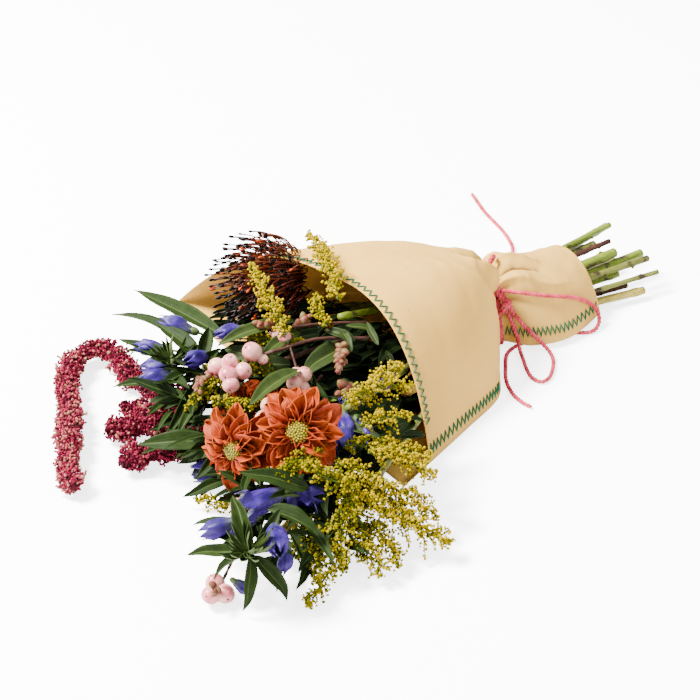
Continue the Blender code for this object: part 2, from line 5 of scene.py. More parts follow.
import bmesh
import bpy
from mathutils import Matrix, Vector, noise
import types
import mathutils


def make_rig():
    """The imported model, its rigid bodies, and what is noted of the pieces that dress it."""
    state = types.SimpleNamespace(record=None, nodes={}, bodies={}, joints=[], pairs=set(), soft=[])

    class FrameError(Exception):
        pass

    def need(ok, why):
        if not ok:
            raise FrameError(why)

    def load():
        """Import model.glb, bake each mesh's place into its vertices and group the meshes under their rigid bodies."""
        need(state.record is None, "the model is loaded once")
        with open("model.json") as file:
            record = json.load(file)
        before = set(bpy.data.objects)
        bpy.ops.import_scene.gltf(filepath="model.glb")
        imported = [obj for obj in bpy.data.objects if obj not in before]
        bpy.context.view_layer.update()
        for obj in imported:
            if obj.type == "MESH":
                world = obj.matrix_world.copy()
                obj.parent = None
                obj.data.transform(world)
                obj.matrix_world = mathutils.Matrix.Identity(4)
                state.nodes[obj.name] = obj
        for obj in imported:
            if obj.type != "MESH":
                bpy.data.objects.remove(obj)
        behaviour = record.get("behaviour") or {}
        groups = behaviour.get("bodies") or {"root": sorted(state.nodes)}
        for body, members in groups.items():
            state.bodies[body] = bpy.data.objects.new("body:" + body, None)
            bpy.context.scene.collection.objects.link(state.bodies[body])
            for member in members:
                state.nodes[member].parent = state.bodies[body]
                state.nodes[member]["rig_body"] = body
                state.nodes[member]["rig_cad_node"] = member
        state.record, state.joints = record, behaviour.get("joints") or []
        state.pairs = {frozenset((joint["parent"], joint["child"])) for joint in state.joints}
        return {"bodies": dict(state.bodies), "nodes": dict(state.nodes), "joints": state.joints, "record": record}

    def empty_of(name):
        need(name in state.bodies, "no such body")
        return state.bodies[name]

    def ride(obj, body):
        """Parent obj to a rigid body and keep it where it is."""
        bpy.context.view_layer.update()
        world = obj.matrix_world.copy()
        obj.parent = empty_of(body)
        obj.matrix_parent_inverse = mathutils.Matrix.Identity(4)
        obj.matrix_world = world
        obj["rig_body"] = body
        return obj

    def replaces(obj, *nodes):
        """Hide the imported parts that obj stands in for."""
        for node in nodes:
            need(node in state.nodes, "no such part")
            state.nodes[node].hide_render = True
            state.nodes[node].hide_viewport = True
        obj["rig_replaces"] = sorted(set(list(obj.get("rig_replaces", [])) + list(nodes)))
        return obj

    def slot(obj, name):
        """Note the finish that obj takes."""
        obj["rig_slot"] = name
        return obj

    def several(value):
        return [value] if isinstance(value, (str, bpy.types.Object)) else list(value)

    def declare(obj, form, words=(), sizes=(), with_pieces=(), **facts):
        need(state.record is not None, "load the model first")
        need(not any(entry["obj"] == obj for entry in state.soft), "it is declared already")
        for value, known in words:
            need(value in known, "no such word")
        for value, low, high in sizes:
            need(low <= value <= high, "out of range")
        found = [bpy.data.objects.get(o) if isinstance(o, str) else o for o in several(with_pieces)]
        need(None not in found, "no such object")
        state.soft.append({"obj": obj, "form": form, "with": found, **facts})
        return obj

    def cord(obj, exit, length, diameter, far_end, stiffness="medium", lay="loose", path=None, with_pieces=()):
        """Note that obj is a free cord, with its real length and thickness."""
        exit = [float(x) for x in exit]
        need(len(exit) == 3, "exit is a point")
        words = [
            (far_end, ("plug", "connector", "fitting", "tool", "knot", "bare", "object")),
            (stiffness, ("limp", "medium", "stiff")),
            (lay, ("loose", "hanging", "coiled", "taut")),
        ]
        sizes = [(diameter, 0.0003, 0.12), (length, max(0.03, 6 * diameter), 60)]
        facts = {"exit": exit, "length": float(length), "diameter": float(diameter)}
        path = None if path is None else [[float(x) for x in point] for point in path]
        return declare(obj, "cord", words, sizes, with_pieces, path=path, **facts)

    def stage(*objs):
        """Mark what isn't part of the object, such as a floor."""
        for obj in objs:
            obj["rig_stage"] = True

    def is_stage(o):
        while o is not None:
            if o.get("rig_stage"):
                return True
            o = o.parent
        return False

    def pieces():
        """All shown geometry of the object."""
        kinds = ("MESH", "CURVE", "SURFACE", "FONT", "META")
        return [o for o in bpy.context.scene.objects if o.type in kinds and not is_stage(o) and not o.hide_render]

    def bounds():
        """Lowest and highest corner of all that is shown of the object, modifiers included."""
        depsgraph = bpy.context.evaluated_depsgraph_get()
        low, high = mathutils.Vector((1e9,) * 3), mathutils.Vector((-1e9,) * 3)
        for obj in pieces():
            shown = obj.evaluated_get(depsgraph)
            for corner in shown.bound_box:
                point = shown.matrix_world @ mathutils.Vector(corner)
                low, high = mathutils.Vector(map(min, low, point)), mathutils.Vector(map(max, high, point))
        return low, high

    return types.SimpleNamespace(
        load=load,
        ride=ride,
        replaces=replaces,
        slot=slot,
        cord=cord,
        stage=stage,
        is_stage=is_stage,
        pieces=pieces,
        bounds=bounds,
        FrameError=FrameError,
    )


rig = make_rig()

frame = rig.load()
cad_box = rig.bounds()


# ---------------------------------------------------------------- camera
# It stands in front of the bouquet and to its left, and looks down at it.

CAMERA_TARGET = Vector((0.005, 0.075, 0))
CAMERA_AZIMUTH = math.radians(-33)
CAMERA_ELEVATION = math.radians(34)
CAMERA_DISTANCE = 1.6

camera_data = bpy.data.cameras.new("camera")
camera_data.lens = 93.5
camera_data.sensor_width = 36
camera = bpy.data.objects.new("camera", camera_data)
bpy.context.scene.collection.objects.link(camera)
camera_side = Vector(
    (
        math.sin(CAMERA_AZIMUTH) * math.cos(CAMERA_ELEVATION),
        -math.cos(CAMERA_AZIMUTH) * math.cos(CAMERA_ELEVATION),
        math.sin(CAMERA_ELEVATION),
    )
)
camera.location = CAMERA_TARGET + camera_side * CAMERA_DISTANCE
camera.rotation_euler = (-camera_side).to_track_quat("-Z", "Y").to_euler()
bpy.context.scene.camera = camera


# ---------------------------------------------------------------- kraft paper sleeve
# One sheet of brown kraft paper, folded in two along its far edge and sewn together along its
# near edge. Its lower layer lies on the table. The upper one arches over the flowers, and the
# twine gathers both at the waist, where the paper falls into pleats.


def mm(*point):
    """A place given in mm, in metres."""
    return Vector(point) * 0.001


# Cross-sections from the mouth to the neck's end: near edge, far edge, height, the share of the
# width at which it is highest, and how far its top leans towards +X for each mm of height.
SLEEVE_STATIONS = [
    ((-30, -97, 1), (-91, 210, 14), 106, 0.43, 0.25),
    ((22, -76, 1), (-22, 178, 14), 108, 0.43, 0.17),
    ((70, -55, 1), (50, 138, 13), 100, 0.44, 0.1),
    ((92, -28, 3), (98, 92, 12), 80, 0.48, 0.14),
    ((117, 7, 6.2), (132, 61, 12), 55, 0.5, 0),
    ((139, -13, 6.2), (155, 82, 13), 66, 0.55, 0),
    ((175, -21, 6.2), (184, 86, 14), 56, 0.56, 0),
    ((222, -5, 6.2), (212, 78, 16), 53, 0.58, 0),
]
LAST_STATION = len(SLEEVE_STATIONS) - 1
LOWER_LAYER_TONGUE = 0.037
WAIST = 4
PAPER_THICKNESS = 0.0005
ARCH_FULLNESS = 2.6
# The pleats at the waist: how high, how many, and how many stations they reach along the sleeve.
PLEAT_HEIGHT = 0.0056
PLEAT_COUNT = 8.5
PLEAT_REACH = 0.42
# The width of the sleeve counts as this many stations where a crease's width is measured.
WIDTH_IN_STATIONS = 3


def station_at(s):
    """Near edge, far edge, height, ridge and lean at s, counted in stations from the mouth."""
    i = min(int(s), LAST_STATION - 1)
    rows = [SLEEVE_STATIONS[min(max(i + k, 0), LAST_STATION)] for k in (-1, 0, 1, 2)]
    t = s - i
    weights = (
        (-t + 2 * t**2 - t**3) / 2,
        (2 - 5 * t**2 + 3 * t**3) / 2,
        (t + 4 * t**2 - 3 * t**3) / 2,
        (t**3 - t**2) / 2,
    )
    near = sum((mm(*row[0]) * w for row, w in zip(rows, weights)), Vector())
    far = sum((mm(*row[1]) * w for row, w in zip(rows, weights)), Vector())
    height = sum(row[2] * w for row, w in zip(rows, weights)) * 0.001
    ridge = sum(row[3] * w for row, w in zip(rows, weights))
    lean = sum(row[4] * w for row, w in zip(rows, weights))
    return near, far, height, ridge, lean


def arch(share, ridge):
    """Height of the arch's outline, 0 to 1, at a share of the way from near to far."""
    climb = share / ridge if share < ridge else (1 - share) / (1 - ridge)
    return 1 - (1 - min(max(climb, 0.0), 1.0)) ** ARCH_FULLNESS


# Creases: from (s, share) to (s, share), height of the fold in mm and its half width in stations.
CREASES = [
    ((0.4, 0.62), (1.9, 0.64), 1.0, 0.08),
    ((2.5, 0.38), (3.9, 0.3), 12.0, 0.2),
    ((2.9, 0.2), (3.9, 0.2), -11.0, 0.17),
    ((2.5, 0.5), (3.7, 0.42), -8.0, 0.22),
    ((1.7, 0.34), (3.1, 0.14), 4.0, 0.15),
    ((2.7, 0.6), (3.9, 0.54), 9.0, 0.18),
    ((2.9, 0.7), (3.9, 0.66), -8.0, 0.18),
    ((2.3, 0.84), (3.8, 0.77), 5.0, 0.2),
    ((4.1, 0.86), (5.0, 0.78), 10.0, 0.18),
    ((4.15, 0.74), (5.6, 0.58), -9.0, 0.2),
    ((4.4, 0.64), (5.8, 0.5), 7.0, 0.15),
    ((4.1, 0.46), (5.7, 0.4), -7.0, 0.2),
    ((4.15, 0.34), (5.2, 0.3), 5.0, 0.14),
    ((4.1, 0.2), (5.3, 0.16), -3.0, 0.14),
    ((5.0, 0.3), (6.3, 0.24), 2.0, 0.1),
    ((5.6, 0.72), (6.9, 0.62), -2.4, 0.2),
]


def creased(s, share):
    """How far the paper stands proud of its smooth form, in metres."""
    proud = 0.0
    weight = WIDTH_IN_STATIONS**2
    for (s0, t0), (s1, t1), height, width in CREASES:
        along = ((s - s0) * (s1 - s0) + (share - t0) * (t1 - t0) * weight) / (
            (s1 - s0) ** 2 + (t1 - t0) ** 2 * weight
        )
        held = min(max(along, 0.0), 1.0)
        off_s = s - (s0 + (s1 - s0) * held)
        off_t = (share - (t0 + (t1 - t0) * held)) * WIDTH_IN_STATIONS
        off = math.hypot(off_s, off_t) / width
        fade = 0.35 + 0.65 * math.sin(math.pi * min(max(along, 0.04), 0.96))
        proud += height * 0.001 * fade * math.exp(-(off**1.3) * 1.6)
    gathered = math.exp(-(((s - WAIST) / PLEAT_REACH) ** 2))
    wander = share + 0.03 * math.sin(5.1 * share + 2.0 * s)
    pleat = abs(math.sin(math.pi * PLEAT_COUNT * wander)) ** 0.7 - 0.72
    rim = math.sin(math.pi * min(max(share, 0.0), 1.0)) ** 0.5
    proud += PLEAT_HEIGHT * gathered * pleat * rim
    slack = noise.noise(Vector((s * 1.7, share * 4.1, 0.3))) * 0.0022
    slack += noise.noise(Vector((s * 4.3, share * 9.7, 4.1))) * 0.0006
    return proud + slack * rim


def upper_smooth(s, share):
    """A point of the upper layer's smooth form, without creases."""
    near, far, height, ridge, lean = station_at(s)
    flat = near.lerp(far, share)
    rise = (height - flat.z) * arch(share, ridge)
    return flat + Vector((lean * rise, 0, rise))


def upper_normal(s, share):
    """The outward direction of the upper layer's smooth form."""
    step = 0.012
    along = upper_smooth(s + step, share) - upper_smooth(s - step, share)
    across = upper_smooth(s, share + step) - upper_smooth(s, share - step)
    return along.cross(across).normalized()


def upper_point(s, share):
    """A point of the upper layer's outer face: s along the sleeve, share from near to far."""
    return upper_smooth(s, share) + upper_normal(s, share) * creased(s, share)


def lower_point(s, share):
    """A point of the lower layer, which lies on the table and turns up at its far edge."""
    near, far, _, _, _ = station_at(s)
    along = (station_at(0)[0] - station_at(0.5)[0]).normalized()
    tongue = along * LOWER_LAYER_TONGUE * max(0.0, 1 - s) * (1 - share)
    bed = max(0.0, near.z - 0.001)
    curl = max(0.0, (share - 0.8) / 0.2) ** 2
    flat = near.lerp(far, share) + tongue
    return Vector((flat.x, flat.y, bed + (far.z - bed) * curl * 0.8))


def shader_of(name):
    """A new material, its node tree and its Principled shader."""
    made = bpy.data.materials.new(name)
    made.use_nodes = True
    return made, made.node_tree, made.node_tree.nodes["Principled BSDF"]


def node(tree, kind, links=(), **values):
    """A node with its sockets set by name, and linked as {input: (node, output)} says."""
    made = tree.nodes.new("ShaderNode" + kind)
    for name, value in values.items():
        if hasattr(made, name):
            setattr(made, name, value)
        else:
            made.inputs[name.replace("_", " ")].default_value = value
    for name, (source, output) in dict(links).items():
        tree.links.new(source.outputs[output], made.inputs[name])
    return made


def colour_ramp(tree, source, stops):
    """A colour ramp fed by source, a (node, output) pair. stops are (place, colour) pairs."""
    made = tree.nodes.new("ShaderNodeValToRGB")
    tree.links.new(source[0].outputs[source[1]], made.inputs["Fac"])
    ramp = made.color_ramp
    while len(ramp.elements) < len(stops):
        ramp.elements.new(0.5)
    for element, (place, colour) in zip(ramp.elements, stops):
        element.position = place
        element.color = (*colour, 1) if len(colour) == 3 else colour
    return made


def mixed(tree, factor, first, second, blend="MIX"):
    """A colour mix. Each argument is a number, a colour or a (node, output) pair."""
    made = tree.nodes.new("ShaderNodeMix")
    made.data_type = "RGBA"
    made.blend_type = blend
    for socket, value in ((0, factor), (6, first), (7, second)):
        if isinstance(value, tuple) and hasattr(value[0], "outputs"):
            tree.links.new(value[0].outputs[value[1]], made.inputs[socket])
        elif isinstance(value, tuple):
            made.inputs[socket].default_value = (*value, 1)
        else:
            made.inputs[socket].default_value = value
    return made


def coated(tree, shader, colour, roughness, gloss=None):
    """Gives the shader a colour, as a (node, output) pair, its roughness and its gloss."""
    tree.links.new(colour[0].outputs[colour[1]], shader.inputs["Base Color"])
    shader.inputs["Roughness"].default_value = roughness
    if gloss is not None:
        shader.inputs["Specular IOR Level"].default_value = gloss


def bumped(tree, shader, source, strength, distance):
    """Raises the surface by up to this distance where source, a (node, output) pair, is high."""
    made = node(tree, "Bump", {"Height": source}, Strength=strength, Distance=distance)
    tree.links.new(made.outputs["Normal"], shader.inputs["Normal"])


def linked(data, name):
    """A new object in the scene that rides with the bouquet."""
    made = bpy.data.objects.new(name, data)
    bpy.context.scene.collection.objects.link(made)
    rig.ride(made, "root")
    return made


def from_bmesh(bm, name, *finishes, smooth=True):
    """A bmesh as an object with these finishes, in the scene."""
    mesh = bpy.data.meshes.new(name)
    bm.to_mesh(mesh)
    bm.free()
    if smooth:
        mesh.shade_smooth()
    for finish in finishes:
        mesh.materials.append(finish)
    return linked(mesh, name)


def thickened(piece, thickness, offset=-1, back=0):
    """Makes a sheet this thick, inwards, or both ways with offset 0. Its back takes the finish
    that many places after the front's."""
    body = piece.modifiers.new("thickness", "SOLIDIFY")
    body.thickness = thickness
    body.offset = offset
    body.material_offset = back


def fibre_speckle():
    """Node group for uncoated paper: long pale and dark fibres, and a few dark flecks."""
    group = bpy.data.node_groups.new("fibre_speckle", "ShaderNodeTree")
    for name in ("Fibres", "Flecks", "Clouds"):
        group.interface.new_socket(name, in_out="OUTPUT", socket_type="NodeSocketFloat")
    place = node(group, "TexCoord")
    stretch = node(group, "Mapping", {"Vector": (place, "Object")}, Scale=(1, 2.4, 1.4))
    fibres = node(group, "TexNoise", {"Vector": (stretch, "Vector")}, Scale=900, Detail=4)
    specks = node(group, "TexVoronoi", {"Vector": (place, "Object")}, Scale=95)
    close = node(
        group,
        "MapRange",
        {"Value": (specks, "Distance")},
        From_Min=0.035,
        From_Max=0.075,
        To_Min=1,
        To_Max=0,
    )
    chosen = node(group, "TexWhiteNoise", {"Vector": (specks, "Position")})
    few = node(group, "Math", {0: (chosen, "Value")}, operation="GREATER_THAN")
    few.inputs[1].default_value = 0.8
    flecks = node(group, "Math", {0: (close, "Result"), 1: (few, 0)}, operation="MULTIPLY")
    clouds = node(group, "TexNoise", {"Vector": (place, "Object")}, Scale=22, Detail=5)
    ends = group.nodes.new("NodeGroupOutput")
    for name, (source, output) in {
        "Fibres": (fibres, "Fac"),
        "Flecks": (flecks, 0),
        "Clouds": (clouds, "Fac"),
    }.items():
        group.links.new(source.outputs[output], ends.inputs[name])
    return group


kraft, tree, shader = shader_of("kraft_paper")
speckle = tree.nodes.new("ShaderNodeGroup")
speckle.node_tree = fibre_speckle()
base = colour_ramp(
    tree,
    (speckle, "Clouds"),
    [(0.3, (0.35, 0.195, 0.036)), (0.7, (0.4, 0.23, 0.047))],
)
grain = colour_ramp(
    tree,
    (speckle, "Fibres"),
    [(0.3, (0.82, 0.79, 0.74)), (0.5, (1, 1, 1)), (0.75, (1.0, 1.0, 1.0))],
)
toned = mixed(tree, 0.55, (base, "Color"), (grain, "Color"), "MULTIPLY")
# Painted shade: the paper is mixed towards dark brown where it folds inwards, to stand for the shade in its creases.
fold_shade_mask = node(tree, "Attribute")
fold_shade_mask.attribute_name = "painted_fold_shade"
depth = node(tree, "MapRange", {"Value": (fold_shade_mask, "Fac")}, From_Min=0.01, From_Max=0.07)
shaded = mixed(tree, (depth, "Result"), (toned, 2), (0.13, 0.06, 0.014))
flecked = mixed(tree, (speckle, "Flecks"), (shaded, 2), (0.12, 0.05, 0.02))
coated(tree, shader, (flecked, 2), 0.78, 0.08)
bumped(tree, shader, (speckle, "Fibres"), 0.12, 0.0004)

LOWER_COLUMNS, UPPER_COLUMNS, SLEEVE_ROWS = 40, 132, 200
columns = LOWER_COLUMNS + UPPER_COLUMNS
bm = bmesh.new()
bmesh.ops.create_grid(bm, x_segments=SLEEVE_ROWS, y_segments=columns, size=1)
for vertex in bm.verts:
    s = (vertex.co.x + 1) / 2 * LAST_STATION
    column = round((vertex.co.y + 1) / 2 * columns)
    if column in (0, columns):
        vertex.co = lower_point(s, 0)
    elif column <= LOWER_COLUMNS:
        vertex.co = lower_point(s, column / LOWER_COLUMNS)
    else:
        angle = (column - LOWER_COLUMNS) / UPPER_COLUMNS * math.pi
        vertex.co = upper_point(s, (1 + math.cos(angle)) / 2)
bmesh.ops.remove_doubles(bm, verts=bm.verts, dist=1e-5)
bmesh.ops.recalc_face_normals(bm, faces=bm.faces)

# How hollow the paper is at each vertex, softened, paints shade into the inside of its folds: a painted shade, darker
# brown in the creases.
painted_fold_shade = bm.verts.layers.float.new("painted_fold_shade")
FOLD_SHADE_SOFTENINGS = 3
for vertex in bm.verts:
    around = [edge.other_vert(vertex).co for edge in vertex.link_edges]
    centre = sum(around, Vector()) / len(around)
    spread = max((place - vertex.co).length for place in around)
    vertex[painted_fold_shade] = (centre - vertex.co).dot(vertex.normal) / max(spread, 1e-5)
for _ in range(FOLD_SHADE_SOFTENINGS):
    softer = {
        vertex: sum(edge.other_vert(vertex)[painted_fold_shade] for edge in vertex.link_edges)
        / len(vertex.link_edges)
        for vertex in bm.verts
    }
    for vertex, value in softer.items():
        vertex[painted_fold_shade] = value
paper = from_bmesh(bm, "kraft_sleeve", kraft)
thickened(paper, PAPER_THICKNESS)
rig.replaces(paper, "paper_sleeve")
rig.slot(paper, "kraft_paper")


# ---------------------------------------------------------------- green stitching
# Polyester thread, sewn by machine in a zigzag: along the mouth of the upper layer, and through
# both layers along the near edge, on each side of the waist.

THREAD_RADIUS = 0.00064
THREAD_LIFT = 0.0004
THREAD_BOW = 0.0005

thread, tree, shader = shader_of("green_thread")
place = node(tree, "TexCoord")
twist = node(tree, "TexWave", {"Vector": (place, "Object")}, Scale=900, Distortion=2)
strands = colour_ramp(
    tree, (twist, "Color"), [(0.2, (0.0, 0.035, 0.014)), (0.8, (0.0, 0.085, 0.036))]
)
coated(tree, shader, (strands, "Color"), 0.6, 0.15)


def wire(points, radius, resolution=1, radii=None):
    """A round wire along the points, as a bmesh with closed ends. radii multiply its radius."""
    curve = bpy.data.curves.new("wire", "CURVE")
    curve.dimensions = "3D"
    curve.bevel_depth = radius
    curve.bevel_resolution = resolution
    curve.use_fill_caps = True
    spline = curve.splines.new("POLY")
    spline.points.add(len(points) - 1)
    for i, (knot, point) in enumerate(zip(spline.points, points)):
        knot.co = (*point, 1)
        knot.radius = radii[i] if radii else 1
    rough = bpy.data.objects.new("wire", curve)
    mesh = bpy.data.meshes.new_from_object(rough)
    bpy.data.objects.remove(rough)
    bm = bmesh.new()
    bm.from_mesh(mesh)
    bpy.data.meshes.remove(mesh)
    bmesh.ops.remove_doubles(bm, verts=bm.verts, dist=1e-6)
    return bm


def merged(parts):
    """One bmesh of several."""
    whole = bmesh.new()
    for part in parts:
        mesh = bpy.data.meshes.new("part")
        part.to_mesh(mesh)
        part.free()
        whole.from_mesh(mesh)
        bpy.data.meshes.remove(mesh)
    return whole


def stitched(name, corner_at, count, node_name):
    """A zigzag through corner_at(i, 0), each stitch a little bowed off the paper."""
    points = []
    for i in range(count):
        points.append(corner_at(i, 0.0))
        if i + 1 < count:
            points.append((corner_at(i, 0.5) + corner_at(i + 1, -0.5)) / 2)
    made = from_bmesh(wire(points, THREAD_RADIUS), name, thread)
    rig.replaces(made, node_name)
    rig.slot(made, "green_thread")


def above(s, share, height):
    """A point this height over the paper's upper layer."""
    return upper_point(s, share) + upper_normal(s, share) * height


# The mouth's zigzag: its corners, its place and half its width in stations, and its stretch.
MOUTH_CORNERS = 102
MOUTH_LINE = 0.135
MOUTH_HALF = 0.07
MOUTH_START, MOUTH_SPAN, MOUTH_LIMIT = 0.045, 0.9, 0.95


def mouth_corner(i, lift):
    """Corner i of the mouth's zigzag. lift is 0 at a corner and 1/2 midway to the next one."""
    share = MOUTH_START + MOUTH_SPAN * (1 - math.cos(math.pi * i / MOUTH_CORNERS)) / 2 * 0.55
    share += MOUTH_SPAN * 0.45 * i / MOUTH_CORNERS
    jitter = noise.noise(Vector((i * 0.7, 3, 1))) * 0.01
    s = MOUTH_LINE + (MOUTH_HALF if i % 2 else -MOUTH_HALF) * (1 - abs(lift)) + jitter
    return above(s, min(share, MOUTH_LIMIT), THREAD_LIFT + THREAD_BOW * abs(lift))


stitched("mouth_zigzag", mouth_corner, MOUTH_CORNERS, "mouth_stitching")


def seam_corner(first, last, count, place, half):
    """Gives the function that places the corners of a zigzag along the near edge."""

    def corner(i, lift):
        s = first + (last - first) * i / count
        jitter = 1 + noise.noise(Vector((i * 0.9, first, 7))) * 0.25
        share = place + (half if i % 2 else -half) * (1 - abs(lift)) * jitter
        return above(s, share, THREAD_LIFT + THREAD_BOW * abs(lift))

    return corner


# First and last station, corners, share from the near edge, and half the zigzag's width.
SEAMS = {
    "wide": (0.06, 2.16, 42, 0.0135, 0.0062),
    "neck": (4.3, 6.93, 44, 0.04, 0.017),
}
for part, (first, last, count, place, half) in SEAMS.items():
    corner_at = seam_corner(first, last, count, place, half)
    stitched(f"seam_zigzag_{part}", corner_at, count, f"seam_stitching_{part}")


# ---------------------------------------------------------------- twine
# Two-ply jute, dyed pink and hairy. Two turns hold the waist in a half bow: one loop and two
# cut ends. It is laid from two strands that wind round each other.

TWINE_DIAMETER = 0.0034
STRAND_RADIUS = 0.00122
STRAND_OFFSET = 0.00076
LAY_LENGTH = 0.0075
TWINE_STEP = 0.00075
HAIR_RADIUS = 0.00007
HAIR_ROOT = 0.0012

jute, tree, shader = shader_of("pink_jute")
place = node(tree, "TexCoord")
hairs = node(tree, "TexNoise", {"Vector": (place, "Object")}, Scale=1500, Detail=3)
patches = node(tree, "TexNoise", {"Vector": (place, "Object")}, Scale=120, Detail=3)
dyed = colour_ramp(
    tree,
    (patches, "Fac"),
    [(0.3, (0.27, 0.018, 0.03)), (0.5, (0.4, 0.038, 0.06)), (0.75, (0.5, 0.07, 0.09))],
)
hairy = colour_ramp(
    tree, (hairs, "Fac"), [(0.3, (0.55, 0.5, 0.5)), (0.62, (1.0, 1.0, 1.0))]
)
toned = mixed(tree, 0.7, (dyed, "Color"), (hairy, "Color"), "MULTIPLY")
coated(tree, shader, (toned, 2), 0.9, 0.05)
bumped(tree, shader, (hairs, "Fac"), 0.5, 0.0004)


def route_through(points, spans=4, cyclic=False):
    """Points along a Catmull-Rom curve through the given points, spans to each stretch."""
    count = len(points)
    found = []
    for i in range(count if cyclic else count - 1):
        if cyclic:
            a, b, c, d = (points[(i + k) % count] for k in (-1, 0, 1, 2))
        else:
            b, c = points[i], points[i + 1]
            a = points[i - 1] if i else b * 2 - c
            d = points[i + 2] if i + 2 < count else c * 2 - b
        for k in range(spans):
            t = k / spans
            found.append(
                0.5
                * (
                    2 * b
                    + (c - a) * t
                    + (2 * a - 5 * b + 4 * c - d) * t**2
                    + (3 * b - 3 * c + d - a) * t**3
                )
            )
    return found if cyclic else found + [points[-1]]


def evenly(points, gap):
    """Points a fixed gap apart along the line through the given ones."""
    found = [points[0]]
    left = gap
    for a, b in zip(points, points[1:]):
        length = (b - a).length
        at = left
        while at <= length and length > 0:
            found.append(a.lerp(b, at / length))
            at += gap
        left = at - length
    return found


def frames_along(points):
    """A direction and a side at each point. The side turns as little as it can."""
    side = None
    for i, point in enumerate(points):
        ahead = points[min(i + 1, len(points) - 1)] - points[max(i - 1, 0)]
        ahead.normalize()
        if side is None:
            side = ahead.orthogonal().normalized()
        side = (side - ahead * side.dot(ahead)).normalized()
        yield point, ahead, side


def laid_twine(name, points, rng, fuzz=1.0):
    """Two strands wound round the line, and their stray hairs, more of them with more fuzz."""
    line = evenly(points, TWINE_STEP)
    strands = []
    lines = ([], [])
    hairs = []
    for i, (point, ahead, side) in enumerate(frames_along(line)):
        turn = 2 * math.pi * i * TWINE_STEP / LAY_LENGTH
        over = ahead.cross(side)
        out = side * math.cos(turn) + over * math.sin(turn)
        lines[0].append(point + out * STRAND_OFFSET)
        lines[1].append(point - out * STRAND_OFFSET)
        if rng.random() < 0.16 * fuzz:
            angle = rng.uniform(0, 2 * math.pi)
            away = side * math.cos(angle) + over * math.sin(angle)
            lean = ahead * rng.uniform(-1.6, 1.6)
            start = point + away * HAIR_ROOT
            length = rng.uniform(0.0015, 0.0045)
            if rng.random() < 0.06:
                length *= 2.2
            tip = start + (away + lean).normalized() * length
            middle = start.lerp(tip, 0.5) + away * length * rng.uniform(-0.1, 0.25)
            tip.z = max(tip.z, 0.0004)
            middle.z = max(middle.z, 0.0004)
            hairs.append(wire([start, middle, tip], HAIR_RADIUS, 0))
    for strand in lines:
        radii = [1 + 0.1 * rng.uniform(-1, 1) for _ in strand]
        strands.append(wire(strand, STRAND_RADIUS, 2, radii))
    stray = from_bmesh(merged(hairs), name + "_hairs", jute)
    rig.slot(stray, "pink_twine")
    return from_bmesh(merged(strands), name, jute), stray


# Where each loose length of twine runs, from the waist outwards, in mm.
TWINE_ROUTES = {
    "twine_loop_front": (
        (125.4, 9, 34.2),
        (126.6, 4.5, 29),
        (126.8, -0.8, 21.5),
        (127.5, -6, 13),
        (126, -12, 4.5),
        (122, -22, 2.4),
        (115, -36, 2.4),
        (111, -49, 2.4),
        (114, -58, 2.4),
        (123, -57, 2.4),
        (133, -49, 2.4),
        (142, -39, 2.4),
        (147, -28, 3.5),
        (143, -19, 11),
        (137, -11, 19.5),
        (132, -4, 27),
        (129, 3, 33),
    ),
    "twine_end_front": (
        (124.6, 18, 49.8),
        (128, 16.1, 50.4),
        (132.7, 10.8, 50.6),
        (138.6, 5.6, 50.2),
        (147.6, 1.4, 48),
        (158.4, -2, 44.6),
        (171.4, -4.4, 40.6),
        (184.4, -5.6, 36),
        (195.8, -6.4, 30.4),
        (205.1, -7.2, 24),
        (213, -9, 15.6),
        (213, -14.5, 8),
        (207, -19, 3.2),
        (198, -20.5, 2.3),
        (188, -15, 2.2),
        (172, -6, 2.2),
        (150, -2, 2.2),
        (131, -2, 2.2),
        (115, -8, 2.2),
        (102, -23, 2.2),
        (90, -40, 2.2),
        (83, -58, 2.2),
        (82, -71, 2.2),
        (84, -82, 2.2),
    ),
    "twine_end_back": (
        (138, 61.5, 34),
        (143, 72, 27),
        (152, 86, 18),
        (166, 92, 10),
        (185, 96, 5),
        (205, 108, 2.6),
        (227, 131, 2.2),
        (236, 150, 2.2),
        (242, 171, 2.2),
        (248, 204, 2.2),
        (259, 241, 2.2),
    ),
}
FAR_ENDS = {
    "twine_loop_front": "object",
    "twine_end_front": "bare",
    "twine_end_back": "bare",
}
rng = random.Random(5)
for name, route in TWINE_ROUTES.items():
    points = route_through([mm(*p) for p in route], 8)
    piece, stray = laid_twine(name + "_laid", points, rng)
    length = sum((b - a).length for a, b in zip(points, points[1:]))
    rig.cord(
        piece,
        exit=points[0],
        length=length,
        diameter=TWINE_DIAMETER,
        far_end=FAR_ENDS[name],
        stiffness="limp",
        lay="loose",
        path=points,
        with_pieces=[stray],
    )
    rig.replaces(piece, name)
    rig.slot(piece, "pink_twine")


def waist_turn(shift, clear):
    """A turn of twine on the paper, shift stations from the waist, its line clear above it."""
    points = []
    s = WAIST + shift
    for i in range(23):
        share = (1 - math.cos(math.pi * (i + 0.5) / 23)) / 2
        points.append(above(s, share, clear))
    points.append(lower_point(s, 1) + Vector((0, clear, -0.5 * clear)))
    for i in range(7):
        points.append(lower_point(s, 0.94 - 0.9 * i / 6) - Vector((0, 0, clear)))
    points.append(lower_point(s, 0) + Vector((0, -clear, -0.3 * clear)))
    return route_through(points, 4, cyclic=True)


WAIST_TURNS = (("twine_turn_first", -0.04), ("twine_turn_second", 0.1))
for name, shift in WAIST_TURNS:
    points = waist_turn(shift, 0.0012)
    piece, _ = laid_twine(name, points + points[:1], rng, 0.7)
    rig.replaces(piece, "twine_band")
    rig.slot(piece, "pink_twine")

